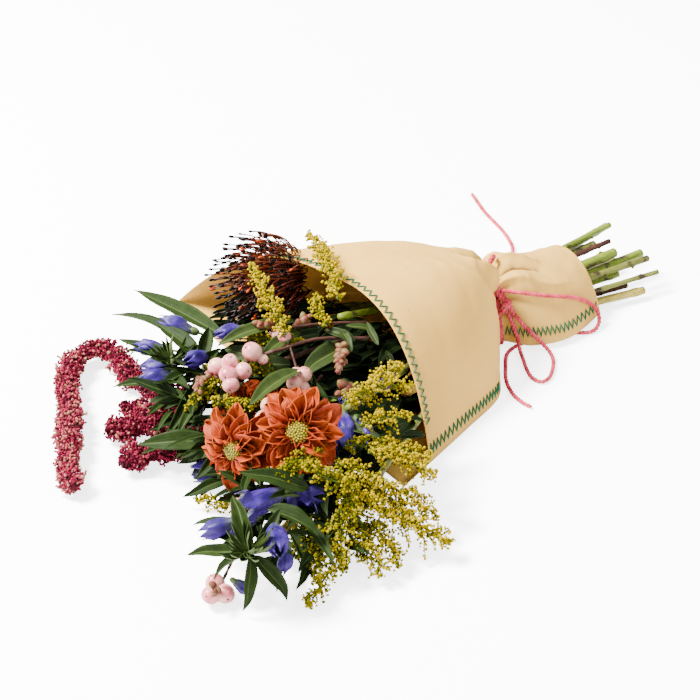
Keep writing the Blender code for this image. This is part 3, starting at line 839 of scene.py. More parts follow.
# The knot: short turns of the same twine, drawn up tight where the two ends cross.
KNOT = mm(124.5, 8, 43)
turns = []
for turn, (tilt, size) in enumerate(((0.2, 1.0), (1.3, 0.9), (2.3, 0.8))):
    ring = []
    for i in range(12):
        angle = 2 * math.pi * i / 12
        flat = Vector((math.cos(angle) * 3.4, math.sin(angle) * 2.4, 0)) * size
        spun = Matrix.Rotation(tilt, 3, "X") @ Matrix.Rotation(turn * 1.1, 3, "Z") @ flat
        ring.append(KNOT + spun * 0.001)
    turns.append(route_through(ring, 4, cyclic=True))
# Short lengths between the knot, the turns round the waist and the loose parts.
links = [
    [mm(117.5, 10, 33), mm(121, 7.5, 38), KNOT],
    [KNOT, mm(124.5, 13, 47.5), mm(124.6, 18, 49.8)],
    [KNOT, mm(125, 9.5, 38), mm(125.4, 9, 34.2)],
    [KNOT, mm(127, 5.5, 38), mm(129, 3, 33)],
    [mm(119, 22, 52), mm(121.5, 13, 48), mm(124, 8, 44)],
    [
        mm(126, 40, 60),
        mm(129, 41, 68),
        mm(134, 43, 70),
        mm(138, 48, 64),
        mm(137, 56, 48),
        mm(138, 61, 35),
    ],
]
rings = [ring + ring[:1] for ring in turns] + [route_through(link, 8) for link in links]
for i, ring in enumerate(rings):
    piece, _ = laid_twine(f"twine_knot_part_{i}", ring, rng)
    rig.replaces(piece, "twine_knot")
    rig.slot(piece, "pink_twine")


# ---------------------------------------------------------------- cut stems
# The stalks of the flowers, cut straight across. They cross at the waist, where the twine pinches
# them, and fan out at both ends. Green ones are smooth, twigs are woody, straw ones are ribbed.

# Name: radius, cut end, place in the waist (y, z), end at the bloom, and bark.
STEMS = {
    "gentian_stem_lower": (3.8, (277, 0, 8.5), (20, 12), (-205, -138, 24), "straw"),
    "snowberry_stem_lower": (3.2, (268, 14, 10), (29, 12), (-180, -84, 22), "twig"),
    "dahlia_stem_back": (3.4, (272, 31, 12), (38.5, 12), (-132, -16, 30), "green"),
    "amaranth_stem": (3.8, (284, 50, 12), (49, 12), (-140, 40, 14), "straw"),
    "goldenrod_stem_lower": (2.4, (296, 4, 20), (15, 22), (-116, -138, 38), "olive"),
    "dahlia_stem_left": (4.4, (300, 33, 24), (29, 22), (-168, -62, 48), "green"),
    "gentian_stem_upper": (3.6, (295, 78, 33), (53.6, 19.6), (-146, 66, 42), "green"),
    "goldenrod_stem_middle": (3.2, (296, 19, 27), (19.5, 31), (-100, -82, 72), "olive"),
    "dahlia_stem_right": (4.6, (270, 36, 33), (31, 32.5), (-140, -90, 66), "green"),
    "protea_stem": (4.6, (264, 58, 32), (48, 30), (-40, 84, 52), "olive"),
    "snowberry_stem_upper": (2.4, (268, 42, 43), (38, 39), (-124, 0, 74), "twig"),
    "goldenrod_stem_upper": (3.0, (288, 66, 42), (45.5, 38.8), (-52, 6, 92), "green"),
}


def bark(name, stops, marks, roughness, groove):
    """Skin of a stem: long streaks of the given colours, with darker marks."""
    made, tree, shader = shader_of(name)
    place = node(tree, "TexCoord")
    drawn = node(tree, "Mapping", {"Vector": (place, "Object")}, Scale=(0.12, 1, 1))
    streaks = node(tree, "TexNoise", {"Vector": (drawn, "Vector")}, Scale=520, Detail=4)
    spots = node(tree, "TexNoise", {"Vector": (place, "Object")}, Scale=85, Detail=6)
    skin = colour_ramp(tree, (streaks, "Fac"), stops)
    stained = colour_ramp(tree, (spots, "Fac"), [(0.56, (0, 0, 0)), (0.66, (1, 1, 1))])
    toned = mixed(tree, (stained, "Color"), (skin, "Color"), marks)
    coated(tree, shader, (toned, 2), roughness, 0.1)
    bumped(tree, shader, (streaks, "Fac"), groove, 0.0006)
    return made


BARKS = {
    "green": bark(
        "green_stem_bark",
        [(0.3, (0.05, 0.075, 0.005)), (0.7, (0.12, 0.15, 0.012))],
        (0.03, 0.025, 0.008),
        0.42,
        0.35,
    ),
    "olive": bark(
        "olive_stem_bark",
        [(0.3, (0.045, 0.05, 0.008)), (0.7, (0.11, 0.115, 0.02))],
        (0.02, 0.012, 0.006),
        0.55,
        0.5,
    ),
    "straw": bark(
        "straw_stem_bark",
        [(0.3, (0.14, 0.105, 0.014)), (0.7, (0.27, 0.21, 0.04))],
        (0.06, 0.03, 0.01),
        0.6,
        0.9,
    ),
    "twig": bark(
        "snowberry_twig_bark",
        [(0.3, (0.012, 0.004, 0.003)), (0.7, (0.035, 0.012, 0.006))],
        (0.05, 0.03, 0.02),
        0.7,
        0.8,
    ),
}
SLOT_OF_BARK = {
    "green": "green_stem",
    "olive": "green_stem",
    "straw": "pale_stem",
    "twig": "brown_twig",
}

def mottled(name, stops, scale, detail, roughness, gloss=None):
    """A skin whose colour changes in patches, the finer the larger the scale is."""
    made, tree, shader = shader_of(name)
    place = node(tree, "TexCoord")
    patches = node(tree, "TexNoise", {"Vector": (place, "Object")}, Scale=scale, Detail=detail)
    tone = colour_ramp(tree, (patches, "Fac"), stops)
    coated(tree, shader, (tone, "Color"), roughness, gloss)
    return made


pith = mottled(
    "cut_pith",
    [(0.3, (0.2, 0.2, 0.07)), (0.65, (0.42, 0.42, 0.2))],
    scale=1400,
    detail=2,
    roughness=0.7,
)


def corners_cut(points, rounds):
    """The line with its corners cut off, this many times over."""
    for _ in range(rounds):
        cut = [points[0]]
        for a, b in zip(points, points[1:]):
            cut += [a.lerp(b, 0.25), a.lerp(b, 0.75)]
        points = cut + [points[-1]]
    return points


BUNDLE_ENDS = (133, 109)
BARK_STEP = 0.003
NODE_SWELL = 0.16
rng = random.Random(21)
for name, (radius, cut_end, (waist_y, waist_z), bloom_end, kind) in STEMS.items():
    bundled = [(x, waist_y, waist_z) for x in BUNDLE_ENDS]
    ends = [cut_end, *bundled, bloom_end]
    line = evenly(corners_cut([mm(*p) for p in ends], 3), BARK_STEP)
    thick = radius * 0.001
    joints = [rng.uniform(0.004, 0.03)]
    while joints[-1] < 0.5:
        joints.append(joints[-1] + rng.uniform(0.035, 0.06))
    # Bark swells at the joints that leaves once grew from.
    radii = []
    for i in range(len(line)):
        nearest = min(abs(i * BARK_STEP - joint) for joint in joints)
        swell = NODE_SWELL * math.exp(-((nearest / 0.0035) ** 2))
        radii.append(thick * (0.97 + swell + 0.03 * noise.noise(line[i] * 140)))
    stalk = wire(line, 1, 3, radii)
    # The end nearest the cut is one flat face with a rim, in the colour of pith.
    near_cut = [
        face
        for face in stalk.faces
        if len(face.verts) == 3 and (face.calc_center_median() - line[0]).length < thick * 1.3
    ]
    cap = bmesh.ops.dissolve_faces(stalk, faces=near_cut)["region"][0]
    bmesh.ops.inset_region(stalk, faces=[cap], thickness=thick * 0.16, depth=-thick * 0.06)
    cap.material_index = 1
    parts = [stalk]
    for joint in joints[:3]:
        i = min(int(joint / BARK_STEP), len(line) - 2)
        ahead = (line[i + 1] - line[i]).normalized()
        side = ahead.orthogonal().normalized()
        side.rotate(Matrix.Rotation(rng.uniform(0, 6.28), 3, ahead))
        foot = line[i] + side * thick * 0.6
        stub = [foot, foot + (side * 0.8 + ahead * 0.9) * thick * rng.uniform(0.5, 1.2)]
        if min(point.z for point in stub) > 0.003:
            parts.append(wire(stub, 1, 1, [thick * 0.5, thick * 0.3]))
    piece = from_bmesh(merged(parts), name + "_bark", BARKS[kind], pith)
    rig.replaces(piece, name)
    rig.slot(piece, SLOT_OF_BARK[kind])


# ---------------------------------------------------------------- leaves
# Long folded gentian leaves stand in whorls round each head and are dark above and pale below.
# The snowberry has oval leaves. Foliage fills the mouth of the sleeve behind the flowers, in a darker leaf colour that
# is painted shade.


def vein_lines():
    """Node group: the midrib, and veins that run along the leaf or out from its midrib."""
    group = bpy.data.node_groups.new("vein_lines", "ShaderNodeTree")
    for name in ("Midrib", "Along", "Outward"):
        group.interface.new_socket(name, in_out="OUTPUT", socket_type="NodeSocketFloat")
    place = node(group, "UVMap")
    split = node(group, "SeparateXYZ", {0: (place, "UV")})
    centred = node(group, "Math", {0: (split, "Y")}, operation="SUBTRACT")
    centred.inputs[1].default_value = 0.5
    away = node(group, "Math", {0: (centred, 0)}, operation="ABSOLUTE")

    def narrowed(source, low, high):
        limits = {"From_Min": low, "From_Max": high, "To_Min": 1, "To_Max": 0}
        links = {"Value": source}
        return node(group, "MapRange", links, interpolation_type="SMOOTHSTEP", **limits)

    def waves(source, count):
        spread = node(group, "Math", {0: source}, operation="MULTIPLY")
        spread.inputs[1].default_value = count
        turned = node(group, "Math", {0: (spread, 0)}, operation="PINGPONG")
        turned.inputs[1].default_value = 1
        return narrowed((turned, 0), 0.0, 0.2)

    swept = node(group, "Math", {0: (split, "X"), 1: (away, 0)}, operation="SUBTRACT")
    ends = group.nodes.new("NodeGroupOutput")
    for name, made in {
        "Midrib": narrowed((away, 0), 0.012, 0.05),
        "Along": waves((away, 0), 12.0),
        "Outward": waves((swept, 0), 18.0),
    }.items():
        group.links.new(made.outputs[0], ends.inputs[name])
    return group


veins = vein_lines()


def leaf_skin(name, dark, light, rib, pattern, roughness, gloss):
    """A leaf's face. Its tone changes from leaf to leaf, and it has the named vein pattern."""
    made, tree, shader = shader_of(name)
    lines = tree.nodes.new("ShaderNodeGroup")
    lines.node_tree = veins
    tint = node(tree, "Attribute", attribute_name="tint")
    place = node(tree, "TexCoord")
    mottle = node(tree, "TexNoise", {"Vector": (place, "Object")}, Scale=160, Detail=4)
    blend = node(tree, "Math", {0: (tint, "Fac"), 1: (mottle, "Fac")}, operation="MULTIPLY")
    scaled = node(tree, "Math", {0: (blend, 0)}, operation="MULTIPLY")
    scaled.inputs[1].default_value = 1.7
    face = mixed(tree, (scaled, 0), dark, light)
    faint = node(tree, "Math", {0: (lines, pattern)}, operation="MULTIPLY")
    faint.inputs[1].default_value = 0.35
    veined = mixed(tree, (faint, 0), (face, 2), rib)
    ribbed = mixed(tree, (lines, "Midrib"), (veined, 2), rib)
    coated(tree, shader, (ribbed, 2), roughness, gloss)
    raised = node(tree, "Math", {0: (lines, pattern), 1: (lines, "Midrib")}, operation="ADD")
    bumped(tree, shader, (raised, 0), -0.35, 0.0005)
    return made


gentian_above = leaf_skin(
    "gentian_leaf_above",
    (0.0025, 0.0065, 0.0012),
    (0.0105, 0.0195, 0.003),
    (0.024, 0.036, 0.008),
    "Along",
    0.55,
    0.04,
)
gentian_below = leaf_skin(
    "gentian_leaf_below",
    (0.018, 0.032, 0.009),
    (0.038, 0.056, 0.018),
    (0.06, 0.08, 0.028),
    "Along",
    0.65,
    0.05,
)
# A much darker copy of the gentian leaf: painted shade for the leaves deep in the sleeve's mouth.
shaded_mouth_leaf = leaf_skin(
    "painted_shade_mouth_leaf",
    (0.0008, 0.0018, 0.0004),
    (0.0035, 0.0075, 0.0014),
    (0.007, 0.013, 0.003),
    "Along",
    0.6,
    0.03,
)
oval_above = leaf_skin(
    "snowberry_leaf_above",
    (0.005, 0.01, 0.002),
    (0.016, 0.026, 0.004),
    (0.034, 0.045, 0.01),
    "Outward",
    0.5,
    0.06,
)
oval_below = leaf_skin(
    "snowberry_leaf_below",
    (0.035, 0.05, 0.018),
    (0.06, 0.08, 0.03),
    (0.09, 0.11, 0.045),
    "Outward",
    0.7,
    0.05,
)


def blade(root, tip, width, up, arch_by=0.06, fold=0.35, oval=False, tint=0.5, rows=20):
    """One leaf, from its root to its tip, folded along its midrib and bent like a bow."""
    along = tip - root
    side = up.cross(along).normalized()
    lift = along.cross(side).normalized()
    bm = bmesh.new()
    bm.loops.layers.uv.new("UVMap")
    shade = bm.verts.layers.float.new("tint")
    bmesh.ops.create_grid(bm, x_segments=rows, y_segments=8, size=1, calc_uvs=True)
    for vertex in bm.verts:
        t, c = (vertex.co.x + 1) / 2, vertex.co.y
        if oval:
            half = (t**0.62 * (1 - t) ** 0.62) * 1.55 * (1.08 - 0.3 * t)
        else:
            half = (t**0.55 * (1 - t) ** 0.95) * 1.95
        half = max(half, 0.07 * (1 - t)) * width / 2
        sway = noise.noise(Vector((t * 2.2, root.x * 90, tip.y * 70))) * width * 0.16
        wave = noise.noise(Vector((t * 5, c * 1.5, root.y * 130))) * width * 0.07
        bow = arch_by * along.length * 4 * t * (1 - t)
        vertex.co = (
            root
            + along * t
            + side * (c * half * (1 - 0.12 * fold) + sway * t)
            + lift * (bow + fold * abs(c) ** 1.3 * half + wave * abs(c))
        )
        vertex[shade] = tint
    bmesh.ops.remove_doubles(bm, verts=bm.verts, dist=2e-5)
    return bm


LEAF_THICKNESS = 0.0003


def leaf_piece(name, blades, above_skin, below_skin, nodes=()):
    """Leaves as one thin piece, with its own skin below."""
    piece = from_bmesh(merged(blades), name, above_skin, below_skin)
    thickened(piece, LEAF_THICKNESS, back=1)
    for each in nodes:
        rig.replaces(piece, each)
    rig.slot(piece, "green_leaf")


# Each whorl: where its buds stand, and the root, tip and width of every leaf.
WHORLS = {
    "gentian_leaves_upper": (
        (-165, 80, 48),
        (
            ((-121, 77, 60), (-138, 203, 44), 24),
            ((-148, 79, 54), (-171, 181, 42), 20),
            ((-162, 67, 50), (-181, 147, 40), 18),
            ((-165, 79, 44), (-183, 137, 34), 12),
            ((-161, 58, 40), (-214, 98, 30), 18),
            ((-151, 63, 56), (-161, 114, 66), 21),
            ((-152, 57, 58), (-133, 78, 72), 19),
            ((-158, 44, 50), (-215, 7, 34), 16),
            ((-156, 29, 52), (-207, -2, 36), 16),
            ((-149, 55, 56), (-139, 45, 70), 13),
        ),
    ),
    "gentian_leaves_lower": (
        (-234, -162, 46),
        (
            ((-224, -148, 48), (-243, -92, 28), 16),
            ((-230, -158, 48), (-222, -117, 64), 17),
            ((-233, -158, 44), (-261, -115, 24), 15),
            ((-233, -158, 46), (-249, -123, 40), 13),
            ((-233, -160, 42), (-248, -173, 6), 15),
            ((-231, -161, 42), (-216, -182, 8), 16),
            ((-204, -137, 56), (-182, -171, 46), 22),
            ((-188, -140, 32), (-191, -175, 12), 15),
            ((-230, -162, 44), (-201, -166, 34), 15),
            ((-234, -160, 44), (-257, -148, 22), 13),
            ((-227, -159, 46), (-198, -147, 62), 13),
            ((-171, -127, 44), (-199, -132, 60), 14),
        ),
    ),
}
rng = random.Random(8)
for name, (heart, rows) in WHORLS.items():
    centre = mm(*heart)
    blades = []
    for root, tip, width in rows:
        up = Vector((rng.uniform(-0.5, 0.3), rng.uniform(-0.9, 0.2), 1))
        size = width * 0.001 * rng.uniform(0.92, 1.08)
        tone = rng.uniform(0.15, 0.95)
        bow = rng.uniform(0.02, 0.12)
        fold = rng.uniform(0.45, 0.95)
        blades.append(blade(mm(*root), mm(*tip), size, up, bow, fold, tint=tone, rows=26))
    # Short inner leaves hold the buds together at the middle of the whorl.
    for k in range(22):
        angle = k * 2.4
        spread = rng.uniform(0.3, 0.95)
        outward = Vector((math.cos(angle) * spread - 0.35, math.sin(angle) * spread - 0.1, 0.6))
        tip_at = centre + outward.normalized() * rng.uniform(0.016, 0.03)
        blades.append(
            blade(
                centre + outward * 0.002,
                tip_at,
                rng.uniform(0.006, 0.01),
                Vector((0.3, -0.2, 1)),
                -0.12,
                0.7,
                tint=rng.uniform(0.7, 1.6),
                rows=12,
            )
        )
    leaf_piece(name + "_blades", blades, gentian_above, gentian_below, [name])

# Single leaves: root, tip, width, whether it is oval, and the node it takes the place of.
LEAVES = {
    "leaf_veined": ((-186, -18, 36), (-234, 14, 31), 24, False),
    "leaf_berries": ((-100, 16, 60), (-132, 52, 64), 27, True),
    "leaf_dahlia": ((-168, -134, 58), (-214, -112, 80), 20, False),
}
for name, (root, tip, width, oval) in LEAVES.items():
    skins = (oval_above, oval_below) if oval else (gentian_above, gentian_below)
    up = Vector((-0.4, -0.5, 1))
    made = blade(mm(*root), mm(*tip), width * 0.001, up, 0.07, 0.4, oval, 0.6, 26)
    leaf_piece(name + "_blade", [made], *skins, [name])

# Leaves between the flowers: root, tip, width and whether it is oval.
LOOSE_LEAVES = [
    ((-78, 27, 86), (-149, 33, 84), 22, True),
    ((-127, -1, 84), (-81, 17, 84), 20, True),
    ((-109, -29, 82), (-171, -56, 88), 26, True),
    ((-52, -13, 74), (-109, -28, 76), 32, True),
    ((-55, -25, 88), (-69, -2, 90), 14, True),
    ((-30, -16, 84), (-50, -2, 88), 10, True),
    ((-40, -36, 84), (-33, -7, 88), 10, True),
    ((-59, -8, 90), (-65, -35, 86), 13, True),
    ((-29, -44, 60), (-24, -23, 66), 10, True),
    ((-81, -43, 70), (-86, -68, 72), 16, True),
    ((-109, -73, 60), (-85, -120, 56), 15, True),
    ((-100, -117, 50), (-63, -104, 56), 15, True),
    ((-104, -6, 72), (-136, 8, 74), 24, True),
    ((-164, 30, 44), (-200, 44, 40), 15, False),
    ((-140, 14, 56), (-168, -4, 60), 16, False),
    ((-150, -92, 50), (-172, -128, 56), 16, False),
    ((-176, -38, 36), (-206, -22, 30), 13, False),
    ((-168, -164, 30), (-137, -143, 40), 14, False),
    ((-140, -110, 40), (-160, -150, 40), 16, False),
    ((-120, -120, 40), (-120, -160, 30), 16, False),
    ((-150, -130, 24), (-176, -160, 20), 16, False),
]
rng = random.Random(14)
narrow, wide = [], []
for root, tip, width, oval in LOOSE_LEAVES:
    up = Vector((rng.uniform(-0.6, 0), rng.uniform(-0.7, 0), 1))
    bow = rng.uniform(0.02, 0.12)
    tone = rng.uniform(0.2, 0.9)
    made = blade(mm(*root), mm(*tip), width * 0.001, up, bow, 0.45, oval, tone)
    (wide if oval else narrow).append(made)
leaf_piece("loose_gentian_leaves", narrow, gentian_above, gentian_below)
leaf_piece("loose_snowberry_leaves", wide, oval_above, oval_below)

# Foliage inside the mouth, under the upper layer of the paper. Its darker skin is painted shade for the dark inside of
# the sleeve.
rng = random.Random(33)
blades = []
MOUTH_LEAVES = 300
while len(blades) < MOUTH_LEAVES:
    s = rng.uniform(-0.15, 0.85)
    share = rng.uniform(0.11, 0.74)
    roof = upper_smooth(max(s, 0.05), share)
    floor = lower_point(max(s, 0.0), share)
    depth = rng.uniform(0.1, 0.62)
    start = floor.lerp(roof, depth)
    pull = (start - floor.lerp(roof, 0.5)) * 0.35
    heading = Vector((-1, rng.uniform(-0.5, 0.5), rng.uniform(-0.3, 0.35)))
    heading = heading.normalized() * rng.uniform(0.03, 0.05)
    tip = start + heading - pull
    up = Vector((rng.uniform(-0.5, 0.5), rng.uniform(-0.8, 0.8), 1))
    size = rng.uniform(0.010, 0.022)
    bow = rng.uniform(-0.05, 0.12)
    oval = rng.random() < 0.4
    blades.append(blade(start, tip, size, up, bow, 0.4, oval, rng.uniform(0, 0.55), 12))
leaf_piece("mouth_foliage", blades, shaded_mouth_leaf, shaded_mouth_leaf)

# Undergrowth below the flowers, between the stems that reach out of the mouth.
rng = random.Random(34)
blades = []
LOW_LEAVES = 330
while len(blades) < LOW_LEAVES:
    y = rng.uniform(-0.165, 0.07)
    low = -0.19 if y > -0.1 else -0.2
    start = Vector((rng.uniform(low, -0.06), y, rng.uniform(0.012, 0.05)))
    if start.y < -0.1 and (start.z > 0.036 or start.x > -0.09):
        continue
    if start.y < -0.15 and start.x > -0.12:
        continue
    heading = Vector((rng.uniform(-1, 0.1), rng.uniform(-0.8, 0.4), rng.uniform(-0.15, 0.3)))
    tip = start + heading.normalized() * rng.uniform(0.025, 0.045)
    tip.z = max(tip.z, 0.008)
    up = Vector((rng.uniform(-0.6, 0.3), rng.uniform(-0.9, 0.2), 1))
    size = rng.uniform(0.008, 0.016)
    tone = rng.uniform(0, 0.6)
    blades.append(blade(start, tip, size, up, rng.uniform(0, 0.1), 0.5, False, tone, 12))
# A few more under the goldenrod at the mouth's near corner.
for _ in range(46):
    start = Vector((rng.uniform(-0.07, -0.03), rng.uniform(-0.1, -0.05), rng.uniform(0.01, 0.05)))
    heading = Vector((-1, rng.uniform(-0.7, 0.5), rng.uniform(-0.1, 0.35)))
    tip = start + heading.normalized() * rng.uniform(0.025, 0.042)
    up = Vector((rng.uniform(-0.6, 0.3), rng.uniform(-0.9, 0.2), 1))
    size = rng.uniform(0.009, 0.017)
    blades.append(blade(start, tip, size, up, 0.05, 0.5, False, rng.uniform(0, 0.5), 12))
leaf_piece("undergrowth", blades, gentian_above, gentian_below)


# ---------------------------------------------------------------- pincushion protea
# A faded pincushion: hundreds of stiff styles spring from one dark head, bend over towards the
# mouth and end in swollen tips. The upper ones are painted orange-brown and the lower ones nearly
# black, as painted light and shade.

style_skin, tree, shader = shader_of("protea_styles")
tint = node(tree, "Attribute", attribute_name="tint")
run = node(tree, "Attribute", attribute_name="run")
lit_style_colour = colour_ramp(
    tree,
    (run, "Fac"),
    [(0.0, (0.02, 0.005, 0.002)), (0.45, (0.11, 0.022, 0.004)), (0.9, (0.06, 0.008, 0.002))],
)
shaded_style_colour = colour_ramp(
    tree,
    (run, "Fac"),
    [(0.0, (0.002, 0.001, 0.001)), (0.5, (0.024, 0.003, 0.002)), (0.9, (0.012, 0.002, 0.0015))],
)
style_light_and_shade = mixed(tree, (tint, "Fac"), (shaded_style_colour, "Color"), (lit_style_colour, "Color"))
coated(tree, shader, (style_light_and_shade, 2), 0.4, 0.12)


def tinted(name, stops, roughness, gloss):
    """A skin whose colour follows each grain's own tint."""
    made, tree, shader = shader_of(name)
    tint = node(tree, "Attribute", attribute_name="tint")
    tone = colour_ramp(tree, (tint, "Fac"), stops)
    coated(tree, shader, (tone, "Color"), roughness, gloss)
    return made


style_tip = tinted(
    "protea_style_tips",
    [(0.0, (0.0015, 0.001, 0.001)), (0.88, (0.003, 0.0015, 0.0015)), (0.93, (0.25, 0.03, 0.002))],
    roughness=0.35,
    gloss=0.05,
)


def marked(bm, **values):
    """Gives every vertex of a bmesh these float attributes."""
    for name, value in values.items():
        layer = bm.verts.layers.float.get(name) or bm.verts.layers.float.new(name)
        for vertex in bm.verts:
            vertex[layer] = value
    return bm


def pointing(place, direction, size):
    """A matrix that stands a shape made along +Z at place, along direction."""
    turn = direction.to_track_quat("Z", "Y").to_matrix().to_4x4()
    return Matrix.Translation(place) @ turn @ Matrix.Diagonal((*size, 1))


def ball(matrix, around, rows):
    """A ball of radius 1, moved and stretched by the matrix."""
    made = bmesh.new()
    bmesh.ops.create_uvsphere(made, u_segments=around, v_segments=rows, radius=1)
    bmesh.ops.transform(made, matrix=matrix, verts=made.verts)
    return made


PROTEA_HEAD = mm(-43, 104, 74)
STYLE_COUNT = 270
GOLDEN_ANGLE = 2.39996
rng = random.Random(77)
styles, tips = [], []
aim = Vector((-0.8, -0.06, 0.36)).normalized()
turn = aim.to_track_quat("Z", "Y").to_matrix()
for i in range(STYLE_COUNT):
    # Spread evenly over a dome that faces the mouth of the sleeve and up.
    around = i * GOLDEN_ANGLE
    lean = math.acos(1 - 1.42 * (i + 0.5) / STYLE_COUNT)
    local = Vector(
        (math.sin(lean) * math.cos(around), math.sin(lean) * math.sin(around), math.cos(lean))
    )
    outward = turn @ local
    foot = PROTEA_HEAD + outward * 0.015
    length = rng.uniform(0.034, 0.045) * rng.choice((1, 1, 1, 0.8, 0.62))
    sideways = rng.uniform(-0.34, 0.34)
    points = []
    for k in range(9):
        t = k / 8
        bend = aim * ((0.3 + 0.36 * lean) * t * t)
        bend += Vector((0, sideways * t * t, 0.12 * t - 0.26 * t**3))
        points.append(foot + (outward * (t - 0.34 * t * t) + bend) * length)
    if min(p.z for p in points) < 0.004:
        continue
    # Styles that face up are painted lighter and those that face down darker: painted light and shade, with a random
    # spread from style to style.
    upward_light = min(max(0.18 + 0.9 * outward.z + rng.uniform(-0.3, 0.4), 0.0), 1.0)
    width = rng.uniform(0.00055, 0.00075)
    style = wire(points, 1, 0, [width] * 8 + [width * 1.2])
    layer = style.verts.layers.float.new("run")
    shade = style.verts.layers.float.new("tint")
    for vertex in style.verts:
        vertex[layer] = min((vertex.co - foot).length / length, 1.0)
        vertex[shade] = upward_light
    styles.append(style)
    ahead = (points[-1] - points[-3]).normalized()
    size = rng.uniform(0.001, 0.0014)
    stand = pointing(points[-1] + ahead * size, ahead, (size, size, size * 2.1))
    tips.append(marked(ball(stand, 7, 5), tint=rng.random()))
piece = from_bmesh(merged(styles), "protea_style_mass", style_skin)
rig.replaces(piece, "protea_head")
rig.slot(piece, "dark_style")
piece = from_bmesh(merged(tips), "protea_tip_mass", style_tip)
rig.replaces(piece, "protea_head")
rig.slot(piece, "dark_style")

# The woody head that carries them.
core = bmesh.new()
bmesh.ops.create_icosphere(core, subdivisions=4, radius=0.0165)
for vertex in core.verts:
    vertex.co *= 1 + 0.1 * noise.noise(vertex.co * 260)
bmesh.ops.translate(core, verts=core.verts, vec=PROTEA_HEAD)
piece = from_bmesh(marked(core, tint=0.1, run=0.1), "protea_receptacle", style_skin)
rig.replaces(piece, "protea_head")
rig.slot(piece, "dark_style")


# ---------------------------------------------------------------- dahlias
# Orange dahlias: rows of cupped petals with pointed tips round a glossy button of unopened
# florets. The outer petals lie back and the inner ones still stand up.

petal_skin, tree, shader = shader_of("dahlia_petal")
place = node(tree, "UVMap")
split = node(tree, "SeparateXYZ", {0: (place, "UV")})
tint = node(tree, "Attribute", attribute_name="tint")
spot = node(tree, "TexCoord")
lines = node(tree, "Mapping", {"Vector": (place, "UV")}, Scale=(0.6, 9, 1))
ribs = node(tree, "TexNoise", {"Vector": (lines, "Vector")}, Scale=3.2, Detail=3)
flush = node(tree, "TexNoise", {"Vector": (spot, "Object")}, Scale=75, Detail=3)
# The colour along each petal: yellowish at its very foot, then a dark dip just beyond it that is painted shade where
# the petals crowd round the button, brightening to the tip.
along = colour_ramp(
    tree,
    (split, "X"),
    [
        (0.0, (0.14, 0.04, 0.002)),
        (0.25, (0.09, 0.006, 0.001)),
        (0.65, (0.22, 0.026, 0.001)),
        (0.97, (0.28, 0.045, 0.003)),
    ],
)
rosy = mixed(tree, (flush, "Fac"), (along, "Color"), (0.15, 0.01, 0.006))
deeper = mixed(tree, (tint, "Fac"), (rosy, 2), (along, "Color"))
streak = colour_ramp(tree, (ribs, "Fac"), [(0.35, (0.55, 0.42, 0.42)), (0.6, (1, 1, 1))])
toned = mixed(tree, 0.75, (deeper, 2), (streak, "Color"), "MULTIPLY")
coated(tree, shader, (toned, 2), 0.5, 0.08)
bumped(tree, shader, (ribs, "Fac"), 0.5, 0.0007)

button_skin = tinted(
    "dahlia_button",
    [(0.0, (0.075, 0.085, 0.0)), (0.6, (0.14, 0.11, 0.0)), (1.0, (0.16, 0.07, 0.0))],
    roughness=0.3,
    gloss=0.3,
)

bract_skin = mottled(
    "dahlia_bract",
    [(0.3, (0.02, 0.04, 0.008)), (0.7, (0.06, 0.08, 0.02))],
    scale=220,
    detail=3,
    roughness=0.5,
)


def petal(length, width, rise, cup, curl, rng):
    """A petal along +X from the axis, standing up by rise radians and curling at its tip."""
    bm = bmesh.new()
    bm.loops.layers.uv.new("UVMap")
    bmesh.ops.create_grid(bm, x_segments=14, y_segments=8, size=1, calc_uvs=True)
    phase = rng.uniform(0, 50)
    for vertex in bm.verts:
        t, c = (vertex.co.x + 1) / 2, vertex.co.y
        half = (0.34 + 0.66 * math.sin(math.pi * min(t, 0.62) / 1.24)) * width / 2
        if t > 0.62:
            half = width / 2 * math.cos((t - 0.62) / 0.38 * math.pi / 2) ** 0.62
        half = max(half, 0.0002)
        wave = noise.noise(Vector((t * 3.2, c * 1.6, phase))) * width * 0.2
        angle = rise + curl * t * t
        reach = length * t
        height = cup * half * (abs(c) ** 2) + wave - 0.06 * width * (1 - abs(c)) ** 2
        vertex.co = Vector(
            (
                reach * math.cos(angle) - height * math.sin(angle),
                c * half * (1 - 0.22 * cup),
                reach * math.sin(angle) + height * math.cos(angle),
            )
        )
    bmesh.ops.remove_doubles(bm, verts=bm.verts, dist=2e-5)
    return bm


# Centre, the way it faces, and radius.
DAHLIAS = {
    "dahlia_right": ((-155, -100, 84), (-0.5, -0.62, 0.6), 31),
    "dahlia_left": ((-190, -64, 59), (-0.88, -0.42, 0.22), 28.5),
    "dahlia_back": ((-146, -6, 46), (-0.5, -0.1, 0.85), 25),
}
